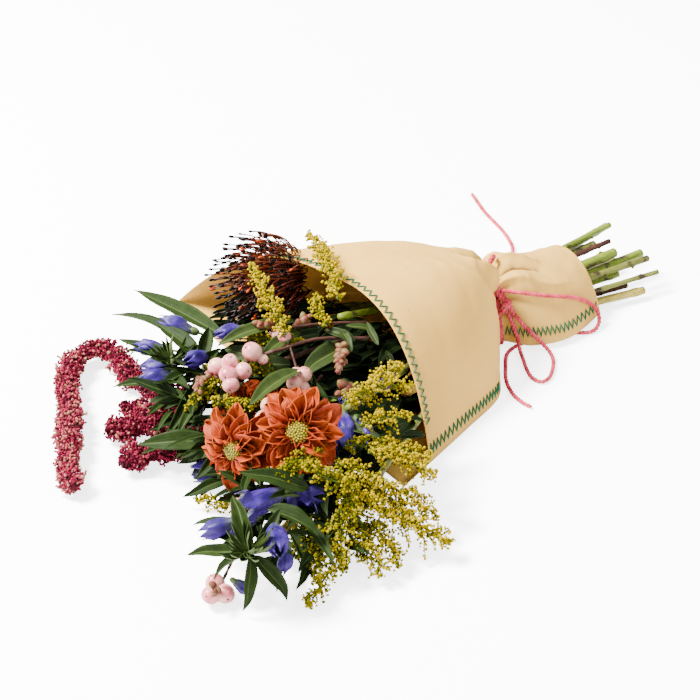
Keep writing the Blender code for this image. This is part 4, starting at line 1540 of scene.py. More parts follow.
# Rows of petals: how many, length and width as shares of the radius, rise, cup, curl, foot.
PETAL_ROWS = [
    (11, 1.1, 0.6, 0.04, 0.6, -0.16, 0.1),
    (11, 0.98, 0.56, 0.22, 0.7, -0.22, 0.1),
    (10, 0.8, 0.48, 0.44, 0.9, -0.2, 0.12),
    (9, 0.58, 0.36, 0.66, 1.1, -0.2, 0.2),
    (8, 0.34, 0.24, 0.8, 1.25, 0.2, 0.26),
]
BUTTON_BUDS = 72
PETAL_THICKNESS = 0.00035
rng = random.Random(41)
for name, (place, facing, radius) in DAHLIAS.items():
    size = radius * 0.001
    towards = Vector(facing).normalized()
    stand = pointing(mm(*place) - towards * size * 0.22, towards, (1, 1, 1))
    petals, florets, bracts = [], [], []
    for row, (count, length, width, rise, cup, curl, foot) in enumerate(PETAL_ROWS):
        for k in range(count):
            angle = 2 * math.pi * (k + 0.5 * (row % 2) + rng.uniform(-0.16, 0.16)) / count
            made = petal(
                size * length * rng.uniform(0.9, 1.06),
                size * width * rng.uniform(0.86, 1.14),
                rise + rng.uniform(-0.2, 0.24),
                cup * rng.uniform(0.6, 1.2),
                curl + rng.uniform(-0.35, 0.3),
                rng,
            )
            spin = Matrix.Rotation(angle, 4, "Z") @ Matrix.Rotation(
                rng.uniform(-0.5, 0.5), 4, "X"
            )
            lift = Matrix.Translation((0, 0, size * (0.02 + 0.035 * row)))
            push = Matrix.Translation((size * foot, 0, 0))
            bmesh.ops.transform(made, matrix=stand @ lift @ spin @ push, verts=made.verts)
            petals.append(marked(made, tint=rng.random()))
    for k in range(BUTTON_BUDS):
        # The button is a dome of buds in a spiral.
        angle = k * GOLDEN_ANGLE
        off = math.sqrt((k + 0.5) / BUTTON_BUDS)
        flat = size * 0.27 * off
        height = size * (0.12 + 0.24 * math.sqrt(max(0.0, 1 - off * off * 0.9)))
        where = Vector((flat * math.cos(angle), flat * math.sin(angle), height))
        lean = Vector((where.x * 0.5, where.y * 0.5, size * 0.3))
        thick = size * (0.046 + 0.012 * off)
        grow = pointing(where, lean, (thick, thick, thick * 2.2))
        tone = min(1.0, 0.15 + 0.6 * off + rng.uniform(0, 0.25))
        florets.append(marked(ball(stand @ grow, 8, 6), tint=tone))
    # Behind the petals is a small green ball with eight bracts.
    squash = Matrix.Translation((0, 0, -size * 0.02)) @ Matrix.Diagonal(
        (size * 0.26, size * 0.26, size * 0.24, 1)
    )
    bracts.append(ball(stand @ squash, 20, 12))
    for k in range(8):
        made = petal(size * 0.42, size * 0.24, -0.35, 0.3, -0.3, rng)
        spin = Matrix.Rotation(2 * math.pi * k / 8, 4, "Z")
        drop = Matrix.Translation((0, 0, -size * 0.08))
        bmesh.ops.transform(made, matrix=stand @ drop @ spin, verts=made.verts)
        bracts.append(made)
    for label, parts, skin in (
        ("petals", petals, petal_skin),
        ("button", florets, button_skin),
        ("bracts", bracts, bract_skin),
    ):
        piece = from_bmesh(merged(parts), f"{name}_{label}", skin)
        if label == "petals":
            thickened(piece, PETAL_THICKNESS, offset=0)
        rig.replaces(piece, name)
        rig.slot(piece, "orange_petal")


# ---------------------------------------------------------------- gentian bells
# Blue-violet tubes with five pointed lobes, pleated between them, on green cups with narrow
# sepals. The younger ones are still shut. The tube is greenish, with stripes, towards its foot.

bell_skin, tree, shader = shader_of("gentian_bell_outside")
place = node(tree, "UVMap")
split = node(tree, "SeparateXYZ", {0: (place, "UV")})
spot = node(tree, "TexCoord")
clouds = node(tree, "TexNoise", {"Vector": (spot, "Object")}, Scale=130, Detail=3)
drawn = node(tree, "Mapping", {"Vector": (place, "UV")}, Scale=(1.2, 14, 1))
ribs = node(tree, "TexNoise", {"Vector": (drawn, "Vector")}, Scale=3, Detail=3)
blue = colour_ramp(
    tree,
    (clouds, "Fac"),
    [(0.3, (0.007, 0.002, 0.045)), (0.55, (0.02, 0.008, 0.085)), (0.8, (0.05, 0.026, 0.14))],
)
foot = colour_ramp(
    tree, (ribs, "Fac"), [(0.42, (0.012, 0.012, 0.03)), (0.58, (0.05, 0.06, 0.045))]
)
along = colour_ramp(tree, (split, "X"), [(0.14, (0, 0, 0)), (0.42, (1, 1, 1))])
body_tone = mixed(tree, (along, "Color"), (foot, "Color"), (blue, "Color"))
streak = colour_ramp(tree, (ribs, "Fac"), [(0.35, (0.55, 0.5, 0.75)), (0.6, (1, 1, 1))])
toned = mixed(tree, 0.7, (body_tone, 2), (streak, "Color"), "MULTIPLY")
coated(tree, shader, (toned, 2), 0.42, 0.12)
bumped(tree, shader, (ribs, "Fac"), 0.5, 0.0006)

throat_skin, tree, shader = shader_of("gentian_bell_inside")
place = node(tree, "UVMap")
drawn = node(tree, "Mapping", {"Vector": (place, "UV")}, Scale=(2, 26, 1))
ribs = node(tree, "TexNoise", {"Vector": (drawn, "Vector")}, Scale=3, Detail=2)
pale = colour_ramp(
    tree, (ribs, "Fac"), [(0.42, (0.006, 0.006, 0.03)), (0.6, (0.07, 0.08, 0.08))]
)
coated(tree, shader, (pale, "Color"), 0.5, 0.2)

cup_skin = mottled(
    "gentian_cup",
    [(0.3, (0.012, 0.024, 0.004)), (0.7, (0.04, 0.06, 0.012))],
    scale=190,
    detail=3,
    roughness=0.5,
    gloss=0.2,
)


def rolled_bell(length, girth, opening, rng):
    """A bell along +Z from its foot at the origin. opening is 0 when shut, 1 when wide open."""
    bm = bmesh.new()
    bm.loops.layers.uv.new("UVMap")
    bmesh.ops.create_grid(bm, x_segments=26, y_segments=50, size=1, calc_uvs=True)
    phase = rng.uniform(0, 40)
    for vertex in bm.verts:
        t, angle = (vertex.co.x + 1) / 2, (1 - vertex.co.y) * math.pi
        lobe = abs((angle / (2 * math.pi) * 5) % 1 - 0.5) * 2
        widest = 0.34 + 0.66 * math.sin(min(t / 0.62, 1) * math.pi / 2) ** 1.3
        if t > 0.62:
            late = (t - 0.62) / 0.38
            widest *= 1 + late * late * (0.5 * opening - 0.72 * (1 - opening))
        pleat = 1 + 0.09 * math.cos(5 * angle) * min(1, t * 1.6)
        reach = length * min(t, 0.74)
        if t > 0.74:
            late = (t - 0.74) / 0.26
            reach += length * 0.3 * late * (1 - 0.82 * lobe**1.3)
            pleat *= 1 - 0.12 * late * (1 - lobe) + 0.16 * opening * late * (1 - lobe)
        wobble = noise.noise(Vector((math.cos(angle) * 1.3, math.sin(angle) * 1.3, t * 3 + phase)))
        radius = girth * widest * pleat * (1 + 0.17 * wobble)
        vertex.co = (radius * math.cos(angle), radius * math.sin(angle), reach)
    bmesh.ops.remove_doubles(bm, verts=bm.verts, dist=1e-5)
    return bm


# Mouth, stalk end, size against the full length, and how far it has opened.
BELLS = {
    "gentian_bell_upper_far": ((-158, 116, 68), (-136, 92, 60), 0.85, 0.1),
    "gentian_bell_upper_near": ((-170, 50, 66), (-144, 58, 60), 0.8, 0.15),
    "gentian_bell_upper_tip": ((-198, 82, 38), (-170, 71, 44), 0.85, 0.05),
    "gentian_bell_lower_far": ((-216, -118, 50), (-184, -124, 54), 1, 0.85),
    "gentian_bell_lower_left": ((-254, -125, 47), (-230, -136, 56), 0.8, 0.3),
    "gentian_bell_lower_near": ((-222, -182, 54), (-208, -152, 54), 0.95, 0.15),
    "gentian_bell_left": ((-206, -23, 16), (-172, -34, 18), 0.95, 0.5),
    "gentian_bell_middle": ((-176, -143, 44), (-166, -114, 40), 1, 0.6),
    "gentian_bell_right": ((-122, -112, 58), (-104, -86, 60), 0.9, 0.4),
}
# Buds and bells between the others: mouth, stalk end, size, opening.
LOOSE_BELLS = [
    ((-179, 124, 44), (-149, 90, 46), 0.8, 0.05),
    ((-186, 100, 38), (-158, 82, 44), 0.8, 0.05),
    ((-140, 53, 80), (-114, 49, 80), 0.7, 0.1),
    ((-53, -55, 58), (-30, -46, 60), 0.7, 0.15),
    ((-88, -54, 58), (-75, -50, 60), 0.6, 0.1),
    ((-108, -98, 56), (-100, -79, 60), 0.8, 0.3),
    ((-94, -108, 52), (-90, -86, 56), 0.8, 0.3),
    ((-154, -135, 44), (-171, -114, 40), 0.9, 0.4),
    ((-213, -170, 22), (-207, -165, 30), 0.6, 0),
    ((-236, -164, 12), (-243, -161, 20), 0.5, 0),
    ((-226, -104, 22), (-200, -112, 30), 0.8, 0.3),
]
BELL_LENGTH = 0.038
BELL_GIRTH = 0.0092
BELL_THICKNESS = 0.00035
rng = random.Random(52)


def bell_parts(mouth, stalk, size, opening):
    """The tube and the green cup of a bell, and the stalk behind it."""
    foot, ahead = mm(*stalk), (mm(*mouth) - mm(*stalk)).normalized()
    length = BELL_LENGTH * size
    start = mm(*mouth) - ahead * length
    tube = rolled_bell(length, BELL_GIRTH * size, opening, rng)
    spin = Matrix.Rotation(rng.uniform(0, 6.28), 4, "Z")
    stand = pointing(start, ahead, (1, 1, 1)) @ spin
    bmesh.ops.transform(tube, matrix=stand, verts=tube.verts)
    girth = 0.0046 * size
    shape = Matrix.Translation((0, 0, length * 0.06)) @ Matrix.Diagonal(
        (girth, girth, length * 0.17, 1)
    )
    greens = [ball(stand @ shape, 14, 8)]
    for k in range(5):
        sepal = petal(length * 0.42, 0.0034 * size, 0.16, 0.4, -0.1, rng)
        # Laid out along +X, a sepal is turned to stand along +Z round the cup.
        up = Matrix.Rotation(-math.pi / 2, 4, "Y")
        side = Matrix.Translation((girth * 0.9, 0, length * 0.12))
        place_at = stand @ Matrix.Rotation(2 * math.pi * k / 5, 4, "Z") @ side @ up
        bmesh.ops.transform(sepal, matrix=place_at, verts=sepal.verts)
        greens.append(sepal)
    greens.append(wire([foot - ahead * 0.006, start], 0.0013 * size))
    return tube, greens


def bell_piece(name, tubes, nodes):
    """Bells as one thin piece, blue outside and pale inside."""
    piece = from_bmesh(merged(tubes), name, bell_skin, throat_skin)
    thickened(piece, BELL_THICKNESS, back=1)
    for each in nodes:
        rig.replaces(piece, each)
    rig.slot(piece, "blue_petal")


greens = []
for name, (mouth, stalk, size, opening) in BELLS.items():
    tube, green = bell_parts(mouth, stalk, size, opening)
    greens += green
    bell_piece(name + "_tube", [tube], [name])
tubes = []
for row in LOOSE_BELLS:
    tube, green = bell_parts(*row)
    tubes.append(tube)
    greens += green
bell_piece("loose_gentian_bells", tubes, [])
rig.slot(from_bmesh(merged(greens), "gentian_cups", cup_skin), "green_leaf")


# ---------------------------------------------------------------- snowberries
# Waxy pink berries, paler on one side, each with the dark dot of its dried flower. They sit in
# tight bunches with small brownish buds, on thin twigs.

berry_skin, tree, shader = shader_of("snowberry_skin")
place = node(tree, "TexCoord")
tint = node(tree, "Attribute", attribute_name="tint")
blush = node(tree, "TexNoise", {"Vector": (place, "Object")}, Scale=95, Detail=2)
freckles = node(tree, "TexNoise", {"Vector": (place, "Object")}, Scale=900, Detail=3)
pink = colour_ramp(
    tree,
    (blush, "Fac"),
    [(0.32, (0.46, 0.25, 0.19)), (0.5, (0.42, 0.15, 0.14)), (0.68, (0.33, 0.06, 0.08))],
)
aged = mixed(tree, (tint, "Fac"), (pink, "Color"), (0.24, 0.13, 0.06))
spots = colour_ramp(tree, (freckles, "Fac"), [(0.3, (0.85, 0.75, 0.75)), (0.5, (1, 1, 1))])
toned = mixed(tree, 0.7, (aged, 2), (spots, "Color"), "MULTIPLY")
coated(tree, shader, (toned, 2), 0.33, 0.35)
shader.inputs["Subsurface Weight"].default_value = 0.25
shader.inputs["Subsurface Radius"].default_value = (0.004, 0.002, 0.0015)
shader.inputs["Subsurface Scale"].default_value = 1

bud_skin = mottled(
    "snowberry_bud",
    [(0.35, (0.06, 0.014, 0.008)), (0.5, (0.1, 0.03, 0.016)), (0.68, (0.06, 0.06, 0.012))],
    scale=210,
    detail=3,
    roughness=0.5,
    gloss=0.12,
)

dot_skin = mottled(
    "snowberry_dot",
    [(0.3, (0.002, 0.001, 0.001)), (0.7, (0.015, 0.008, 0.004))],
    scale=900,
    detail=2,
    roughness=0.8,
)

# Centre and radius of each berry in mm.
BERRIES = {
    "snowberries_top": (
        (-162, 11, 82, 7.2),
        (-154, 4, 86, 7.2),
        (-148, -6, 82, 7),
        (-160, -4, 82, 7.4),
        (-162, -11, 77, 6.8),
    ),
    "snowberry_single": ((-134, 3, 90, 8), (-128, -3, 84, 4.5)),
    "snowberries_far": ((-101, 10, 88, 6.6), (-102, 20, 84, 6.2), (-94, 15, 81, 6.6)),
    "snowberries_centre": (
        (-109, -34, 80, 6.6),
        (-120, -38, 78, 6.4),
        (-111, -26, 77, 5.6),
        (-114, -40, 72, 6.2),
    ),
    "snowberries_between": ((-150, -50, 76, 7.2), (-160, -58, 72, 7.2), (-150, -57, 70, 6.6)),
    "snowberries_left": (
        (-203, -88, 26, 6.4),
        (-196, -94, 30, 6.8),
        (-206, -97, 26, 6.4),
        (-190, -97, 26, 6.4),
    ),
    "snowberries_low": ((-261, -149, 10, 7), (-253, -142, 12, 7.4), (-251, -152, 9, 7.2)),
}
rng = random.Random(63)
dots, twigs = [], []
for name, bunch in BERRIES.items():
    berries = []
    middle = sum((mm(*berry[:3]) for berry in bunch), Vector()) / len(bunch)
    heart = middle + Vector((0.006, 0.004, -0.008))
    for x, y, z, radius in bunch:
        centre, size = mm(x, y, z), radius * 0.001
        berry = bmesh.new()
        bmesh.ops.create_icosphere(berry, subdivisions=4, radius=1)
        out = (centre - middle) * 90 + Vector((-0.35, -0.55, 0.35))
        out = (out + Vector([rng.uniform(-0.45, 0.45) for _ in range(3)])).normalized()
        phase = rng.uniform(0, 60)
        for vertex in berry.verts:
            way = vertex.co.normalized()
            lumps = 1 + 0.05 * noise.noise(way * 1.2 + Vector((phase, 0, 0)))
            near_dot = max(0.0, way.z)
            lumps -= 0.1 * math.exp(-((1 - near_dot) / 0.03))
            vertex.co = way * lumps
        long = rng.uniform(0.96, 1.1)
        stand = pointing(centre, out, (size, size * rng.uniform(0.94, 1), size * long))
        bmesh.ops.transform(berry, matrix=stand, verts=berry.verts)
        berries.append(marked(berry, tint=rng.choice((0, 0, 0.1, 0.35))))
        for k in range(5):
            tooth = bmesh.new()
            bmesh.ops.create_cone(
                tooth, cap_ends=True, segments=5, radius1=0.09, radius2=0.01, depth=0.13
            )
            turn = Matrix.Rotation(k * 1.26, 4, "Z") @ Matrix.Translation((0.05, 0, 0.94))
            bmesh.ops.transform(tooth, matrix=stand @ turn, verts=tooth.verts)
            dots.append(tooth)
        twigs.append(wire([centre - out * size * 0.9, heart], 0.0007))
    piece = from_bmesh(merged(berries), name + "_ripe", berry_skin)
    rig.replaces(piece, name)
    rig.slot(piece, "pink_berry")
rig.slot(from_bmesh(merged(dots), "snowberry_dots", dot_skin), "pink_berry")

# Strings of buds and unripe berries: where they start, where they end, how many, how big.
BUD_STRINGS = [
    ((-158, 12, 78), (-182, 8, 76), 13, 3.0),
    ((-176, 18, 74), (-184, 2, 68), 7, 2.6),
    ((-72, -32, 88), (-90, -56, 86), 12, 3.0),
    ((-66, -24, 88), (-76, -40, 82), 6, 3.0),
    ((-104, 24, 90), (-112, 30, 94), 8, 4.0),
    ((-84, 14, 90), (-74, 16, 94), 9, 3.8),
    ((-200, -96, 36), (-216, -104, 28), 7, 3.6),
    ((-256, -148, 18), (-262, -160, 20), 6, 2.6),
    ((-78, -56, 74), (-94, -62, 72), 5, 4.2),
]
buds = []
for start, end, count, size in BUD_STRINGS:
    a, b = mm(*start), mm(*end)
    ahead = (b - a).normalized()
    twigs.append(wire([a, a.lerp(b, 0.5) + Vector((0, 0, 0.001)), b], 0.0008))
    for k in range(count):
        t = (k + 0.5) / count
        side = Vector([rng.uniform(-1, 1) for _ in range(3)]).normalized()
        grow = (side + ahead * 0.8).normalized()
        thick = size * 0.001 * rng.uniform(0.75, 1.1) * (1.1 - 0.4 * t)
        bud = bmesh.new()
        bmesh.ops.create_uvsphere(bud, u_segments=12, v_segments=8, radius=1)
        for vertex in bud.verts:
            taper = 1 - 0.3 * max(vertex.co.z, 0)
            vertex.co = Vector((vertex.co.x * taper, vertex.co.y * taper, vertex.co.z))
        stand = pointing(a.lerp(b, t) + grow * thick * 1.1, grow, (thick, thick, thick * 1.35))
        bmesh.ops.transform(bud, matrix=stand, verts=bud.verts)
        buds.append(bud)
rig.slot(from_bmesh(merged(buds), "snowberry_buds", bud_skin), "pink_berry")

# The woody twigs that carry the bunches over the other flowers.
TWIGS = [
    (((-40, -24, 84), (-80, -10, 90), (-108, -4, 88), (-132, 0, 86), (-152, 2, 80)), 1.5),
    (((-30, -6, 86), (-66, 4, 92), (-92, 14, 92)), 1.3),
    (((-104, -6, 88), (-108, -18, 84), (-112, -30, 80)), 0.9),
    (((-60, -20, 88), (-70, -28, 88)), 0.9),
    (((-150, -60, 66), (-120, -44, 66), (-90, -30, 70)), 1.2),
    (((-250, -146, 14), (-226, -128, 22), (-196, -98, 22)), 1.2),
]
for points, radius in TWIGS:
    path = route_through([mm(*p) for p in points], 8)
    thick = [radius * 0.001 * (1 + 0.25 * noise.noise(p * 300)) for p in path]
    twigs.append(wire(path, 1, 2, thick))
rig.slot(from_bmesh(merged(twigs), "snowberry_twigs", BARKS["twig"]), "brown_twig")


# ---------------------------------------------------------------- goldenrod
# Feathery plumes. Side sprays leave a thin green stalk, arch over and carry hundreds of small
# round florets, bright yellow where they are open and olive where they are in bud; the florets
# nearer each plume's axis are also painted darker olive, as painted shade inside the plume.

floret_skin = tinted(
    "goldenrod_floret",
    [
        (0.0, (0.014, 0.026, 0.0)),
        (0.3, (0.045, 0.048, 0.0)),
        (0.6, (0.135, 0.105, 0.0)),
        (1.0, (0.26, 0.178, 0.0)),
    ],
    roughness=0.65,
    gloss=0.0,
)

wisp_skin = mottled(
    "goldenrod_stalk",
    [(0.3, (0.014, 0.03, 0.003)), (0.7, (0.045, 0.07, 0.008))],
    scale=200,
    detail=2,
    roughness=0.5,
    gloss=0.08,
)


def scattered(template, places):
    """One bmesh of many copies of a small one. places are (matrix, tint) pairs."""
    template.verts.layers.float.new("tint")
    whole = bmesh.new()
    mesh = bpy.data.meshes.new("copy")
    for matrix, tint in places:
        copy = template.copy()
        copy.transform(matrix)
        shade = copy.verts.layers.float["tint"]
        for vertex in copy.verts:
            vertex[shade] = tint
        copy.to_mesh(mesh)
        copy.free()
        whole.from_mesh(mesh)
    bpy.data.meshes.remove(mesh)
    template.free()
    return whole


# Tip, middle and root of each plume, the half width of its florets, and how open they are.
SPRAYS = {
    "goldenrod_tall": ((-25, 94, 119), (-37, 44, 120), (-52, 4, 110), 9, 0.85),
    "goldenrod_far": ((-89, 80, 116), (-98, 40, 110), (-106, -2, 99), 9, 0.8),
    "goldenrod_behind": ((-190, 13, 50), (-172, 14, 60), (-132, 26, 68), 7.5, 0.5),
    "goldenrod_inner": ((-42, -87, 76), (-72, -84, 84), (-108, -92, 88), 10, 0.75),
    "goldenrod_near": ((-70, -158, 46), (-88, -142, 56), (-112, -130, 66), 12, 0.85),
    "goldenrod_edge": ((-86, -201, 15), (-102, -182, 24), (-120, -164, 38), 13, 0.8),
    "goldenrod_front": ((-172, -137, 84), (-158, -148, 72), (-136, -152, 60), 10, 0.55),
    "goldenrod_low": ((-146, -200, 11), (-142, -186, 18), (-142, -168, 28), 10, 0.65),
    "goldenrod_lowest": ((-208, -198, 8), (-196, -190, 12), (-172, -176, 18), 8, 0.6),
    "goldenrod_left": ((-216, -46, 10), (-202, -60, 10), (-180, -72, 12), 7, 0.6),
}
# More plumes that fill the gaps between those.
LOOSE_SPRAYS = [
    ((-58, 30, 104), (-66, 14, 102), (-70, -6, 96), 6, 0.7),
    ((-122, 30, 84), (-104, 16, 84), (-88, 0, 84), 6, 0.5),
    ((-160, 28, 72), (-140, 14, 74), (-120, -6, 74), 8, 0.55),
    ((-176, -8, 66), (-162, -24, 66), (-140, -30, 64), 8, 0.6),
    ((-186, -124, 72), (-166, -118, 74), (-140, -116, 72), 7, 0.45),
    ((-38, -62, 80), (-56, -72, 84), (-80, -80, 84), 8, 0.85),
    ((-62, -112, 68), (-80, -108, 72), (-104, -108, 74), 10, 0.8),
    ((-84, -128, 56), (-100, -120, 62), (-124, -116, 68), 9, 0.5),
    ((-112, -158, 52), (-124, -144, 60), (-140, -128, 66), 10, 0.75),
    ((-118, -176, 34), (-128, -160, 44), (-140, -140, 52), 10, 0.8),
    ((-148, -168, 48), (-146, -156, 56), (-144, -140, 62), 9, 0.5),
    ((-170, -184, 22), (-162, -170, 32), (-150, -152, 42), 9, 0.6),
    ((-188, -176, 16), (-178, -166, 24), (-160, -150, 34), 9, 0.5),
    ((-100, -178, 22), (-108, -164, 34), (-124, -148, 46), 10, 0.8),
    ((-80, -176, 22), (-92, -162, 34), (-108, -148, 46), 10, 0.85),
    ((-60, -136, 44), (-76, -128, 52), (-96, -120, 60), 9, 0.8),
    ((-128, -196, 10), (-128, -182, 20), (-132, -164, 32), 9, 0.7),
    ((-167, -183, 12), (-164, -169, 20), (-155, -145, 30), 10, 0.5),
    ((-148, -181, 14), (-150, -167, 24), (-148, -147, 36), 10, 0.55),
    ((-180, -167, 14), (-178, -156, 24), (-164, -138, 34), 9, 0.45),
    ((-192, -156, 16), (-184, -148, 26), (-167, -136, 34), 9, 0.4),
    ((-133, -165, 20), (-139, -158, 32), (-139, -140, 44), 10, 0.6),
    ((-191, -107, 64), (-187, -118, 67), (-169, -125, 72), 7, 0.5),
]


FLORET_GAP = 0.0021


def plume(tip, middle, root, half_width, openness, rng):
    """The florets, as (matrix, tint) pairs, and the stalks of one plume."""
    line = evenly(route_through([mm(*root), mm(*middle), mm(*tip)], 12), FLORET_GAP)
    widest = half_width * 0.001
    places, stalks = [], []
    thick = [0.0011 * (1 - 0.6 * i / len(line)) for i in range(len(line))]
    stalks.append(wire(line, 1, 1, thick))
    count = len(line)
    for i, (point, ahead, side) in enumerate(frames_along(line)):
        t = i / max(count - 1, 1)
        over = ahead.cross(side)
        spread = widest * (0.42 + 0.75 * math.sin(math.pi * min(1, 0.2 + t * 0.8)))
        if t > 0.85:
            spread *= 0.7
        for _ in range(3):
            angle = rng.uniform(0, 2 * math.pi)
            out = side * math.cos(angle) + over * math.sin(angle)
            if out.z < -0.35 and rng.random() < 0.5:
                continue
            reach = spread * rng.uniform(0.75, 1.35)
            bend = (out + ahead * rng.uniform(0.5, 1.1)).normalized()
            droop = Vector((0, 0, -0.22))
            spray = [point]
            steps = max(3, round(reach / FLORET_GAP))
            for k in range(1, steps + 1):
                s = k / steps
                spray.append(point + bend * reach * s + droop * reach * s * s)
            if rng.random() < 0.55:
                stalks.append(wire(spray, 0.00028, 0))
            for k, spot in enumerate(spray[1:]):
                for _ in range(1 + (rng.random() < 0.35)):
                    jitter = Vector([rng.uniform(-1, 1) for _ in range(3)]) * 0.0014
                    at = spot + jitter + Vector((0, 0, 0.0006))
                    if at.z < 0.0014:
                        continue
                    size = rng.uniform(0.0008, 0.0012)
                    grow = (bend * 0.4 + Vector((0, 0, 1)) + jitter * 500).normalized()
                    # Florets nearer the plume's axis are darker olive and those further out yellower: painted shade
                    # inside the plume. openness is the real difference between open florets and buds.
                    bloom_and_shade = openness + 0.35 * (k / steps - 0.5) + rng.uniform(-0.3, 0.25)
                    places.append((pointing(at, grow, (size, size, size * 1.2)), bloom_and_shade))
    return places, stalks


rng = random.Random(90)
rows = [(name, *row) for name, row in SPRAYS.items()]
rows += [(None, *row) for row in LOOSE_SPRAYS]
stalks = []
for number, (name, *row) in enumerate(rows):
    places, wisps = plume(*row, rng)
    stalks += wisps
    grain = bmesh.new()
    bmesh.ops.create_icosphere(grain, subdivisions=1, radius=1)
    made = scattered(grain, places)
    piece = from_bmesh(made, f"goldenrod_florets_{number}", floret_skin)
    if name:
        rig.replaces(piece, name)
    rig.slot(piece, "yellow_floret")
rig.slot(from_bmesh(merged(stalks), "goldenrod_stalks", wisp_skin), "green_stem")


# ---------------------------------------------------------------- amaranth
# Love-lies-bleeding: soft crimson tails on the table, built of knots of tiny pointed grains.
# Grains deeper in each tail are painted darker, as painted shade between them; some grains, more of them towards each
# tail's free end, are pale pink and straw.

grain_skin = tinted(
    "amaranth_grain",
    [
        (0.0, (0.015, 0.001, 0.003)),
        (0.45, (0.075, 0.002, 0.01)),
        (0.75, (0.15, 0.007, 0.024)),
        (0.9, (0.2, 0.045, 0.045)),
        (1.0, (0.22, 0.12, 0.06)),
    ],
    roughness=0.75,
    gloss=0.05,
)

# Points along each tail, its radius and how pale it is, by the node it takes the place of.
TASSELS = {
    "amaranth_long": (
        (
            (-291, 16, 13),
            (-285, 38, 13.5),
            (-268, 72, 14),
            (-248, 110, 13.5),
            (-235, 144, 13),
            (-221, 166, 13),
            (-204, 180, 13),
            (-187, 178, 13.5),
            (-179, 160, 13.5),
            (-183, 136, 14),
            (-182, 114, 14.5),
            (-170, 86, 14.5),
            (-144, 62, 14.5),
        ),
        10.5,
        0.16,
    ),
    "amaranth_middle": (((-236, 68, 13), (-210, 60, 12.5), (-172, 42, 13)), 10.5, 0.04),
    "amaranth_near": (((-246, 22, 14), (-222, 24, 13), (-184, 8, 13)), 11, 0),
    "amaranth_short": (((-211, 92, 12), (-198, 84, 11), (-186, 68, 11)), 8, 0.04),
    # Two more lie between the others, under the flowers, and take no node's place.
    "amaranth_under_far": (((-212, 72, 13), (-186, 62, 15), (-150, 56, 16)), 10, 0.02),
    "amaranth_under_near": (((-198, 34, 12), (-176, 24, 14), (-150, 14, 15)), 11, 0),
}
LOWEST_GRAIN = 0.0016
rng = random.Random(101)
cores = []
for name, (points, radius, paleness) in TASSELS.items():
    line = evenly(route_through([mm(*p) for p in points], 12), 0.0013)
    size = radius * 0.001
    total = len(line)
    places = []
    widths = []
    for i, (point, ahead, side) in enumerate(frames_along(line)):
        t = i / total
        knots = 0.9 + 0.45 * noise.noise(point * 80) + 0.2 * noise.noise(point * 260)
        ends = min(1, (i + 2) / 9, (total - i + 1) / 7)
        girth = size * max(0.62, min(knots, 1.15)) * ends**0.5
        widths.append(min(girth * 0.7, 0.0098))
        over = ahead.cross(side)
        for _ in range(round(22 * girth / 0.0105) + 5):
            angle = rng.uniform(0, 2 * math.pi)
            out = side * math.cos(angle) + over * math.sin(angle)
            lumps = 0.96 + 0.55 * noise.noise((point + out * girth) * 190)
            reach = girth * lumps * rng.uniform(0.72, 1.06)
            at = point + out * reach + ahead * rng.uniform(-0.0012, 0.0012)
            at.z = max(at.z, LOWEST_GRAIN)
            grow = (out + Vector([rng.uniform(-0.8, 0.8) for _ in range(3)])).normalized()
            grain = rng.uniform(0.00085, 0.00125)
            # Grains that stand further out are lighter and those deeper in the tail darker: painted shade between the
            # grains.
            tone = 0.45 + 0.5 * (reach / size - 0.75) + paleness * (1.2 - t)
            tone += rng.uniform(-0.32, 0.3)
            if rng.random() < 0.04 + paleness * (1 - t) * 0.9:
                tone = rng.uniform(0.85, 1)
            places.append((pointing(at, grow, (grain, grain, grain * 1.3)), tone))
    template = bmesh.new()
    bmesh.ops.create_icosphere(template, subdivisions=1, radius=1)
    piece = from_bmesh(scattered(template, places), name + "_grains", grain_skin, smooth=False)
    if "under" not in name:
        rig.replaces(piece, name)
    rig.slot(piece, "crimson_tassel")
    # The core under the grains takes the near-black end of the grain colours: painted shade for the depth of the tail.
    cores.append(marked(wire(line, 1, 2, widths), tint=0.1))
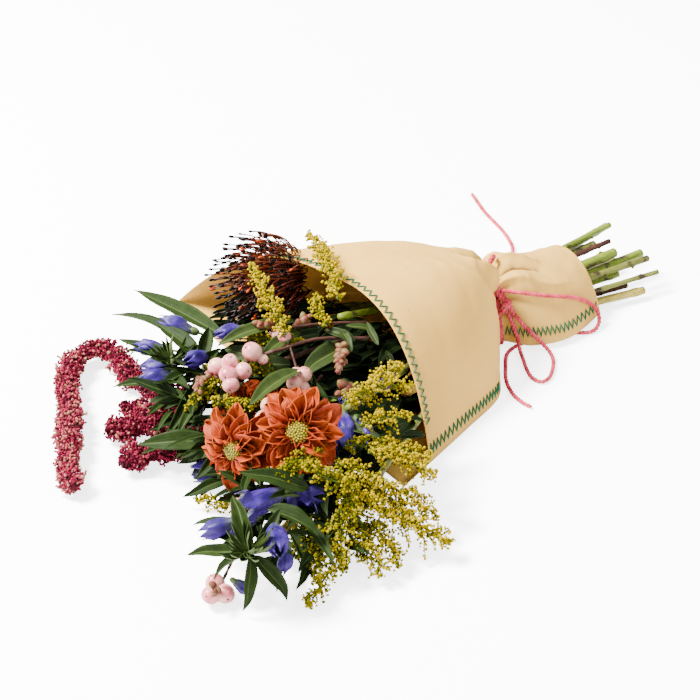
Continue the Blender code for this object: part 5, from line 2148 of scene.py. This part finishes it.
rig.slot(from_bmesh(merged(cores), "amaranth_cores", grain_skin), "crimson_tassel")


# ---------------------------------------------------------------- table and light
# A flat white table, which glows for the camera alone so that it shows as plain white. One soft
# light shines from behind on the left, a larger and weaker one from the front, and some all round.

TABLE_GLOW = 3.0
TABLE_HALF_SIZE = 6
ROOM_LIGHT = 2.2

table_paint, tree, shader = shader_of("white_table")
shader.inputs["Base Color"].default_value = (0.99, 0.99, 0.99, 1)
shader.inputs["Roughness"].default_value = 0.9
shader.inputs["Specular IOR Level"].default_value = 0.0
seen = node(tree, "LightPath")
glow = node(tree, "Math", {0: (seen, "Is Camera Ray")}, operation="MULTIPLY")
glow.inputs[1].default_value = TABLE_GLOW
tree.links.new(glow.outputs[0], shader.inputs["Emission Strength"])
shader.inputs["Emission Color"].default_value = (1, 1, 1, 1)
bm = bmesh.new()
bmesh.ops.create_grid(bm, x_segments=1, y_segments=1, size=TABLE_HALF_SIZE)
mesh = bpy.data.meshes.new("table")
bm.to_mesh(mesh)
bm.free()
mesh.materials.append(table_paint)
table = bpy.data.objects.new("table", mesh)
bpy.context.scene.collection.objects.link(table)
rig.stage(table)

world = bpy.data.worlds.new("studio")
world.use_nodes = True
world.node_tree.nodes["Background"].inputs["Color"].default_value = (0.95, 0.97, 1, 1)
world.node_tree.nodes["Background"].inputs["Strength"].default_value = ROOM_LIGHT
bpy.context.scene.world = world


def soft_light(name, place, size, power, colour):
    """A round lamp that shines on the bouquet."""
    data = bpy.data.lights.new(name, "AREA")
    data.shape = "DISK"
    data.size = size
    data.energy = power
    data.color = colour
    made = bpy.data.objects.new(name, data)
    made.location = place
    made.rotation_euler = (-Vector(place)).to_track_quat("-Z", "Y").to_euler()
    bpy.context.scene.collection.objects.link(made)


soft_light("key", (-1.3, 1.0, 2.2), 0.9, 760, (1, 0.985, 0.96))
soft_light("fill", (0.6, -2.4, 1.6), 2.2, 60, (0.96, 0.98, 1))

visual_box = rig.bounds()
with open("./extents.json", "w") as out:
    json.dump([[list(corner) for corner in box] for box in (cad_box, visual_box)], out)
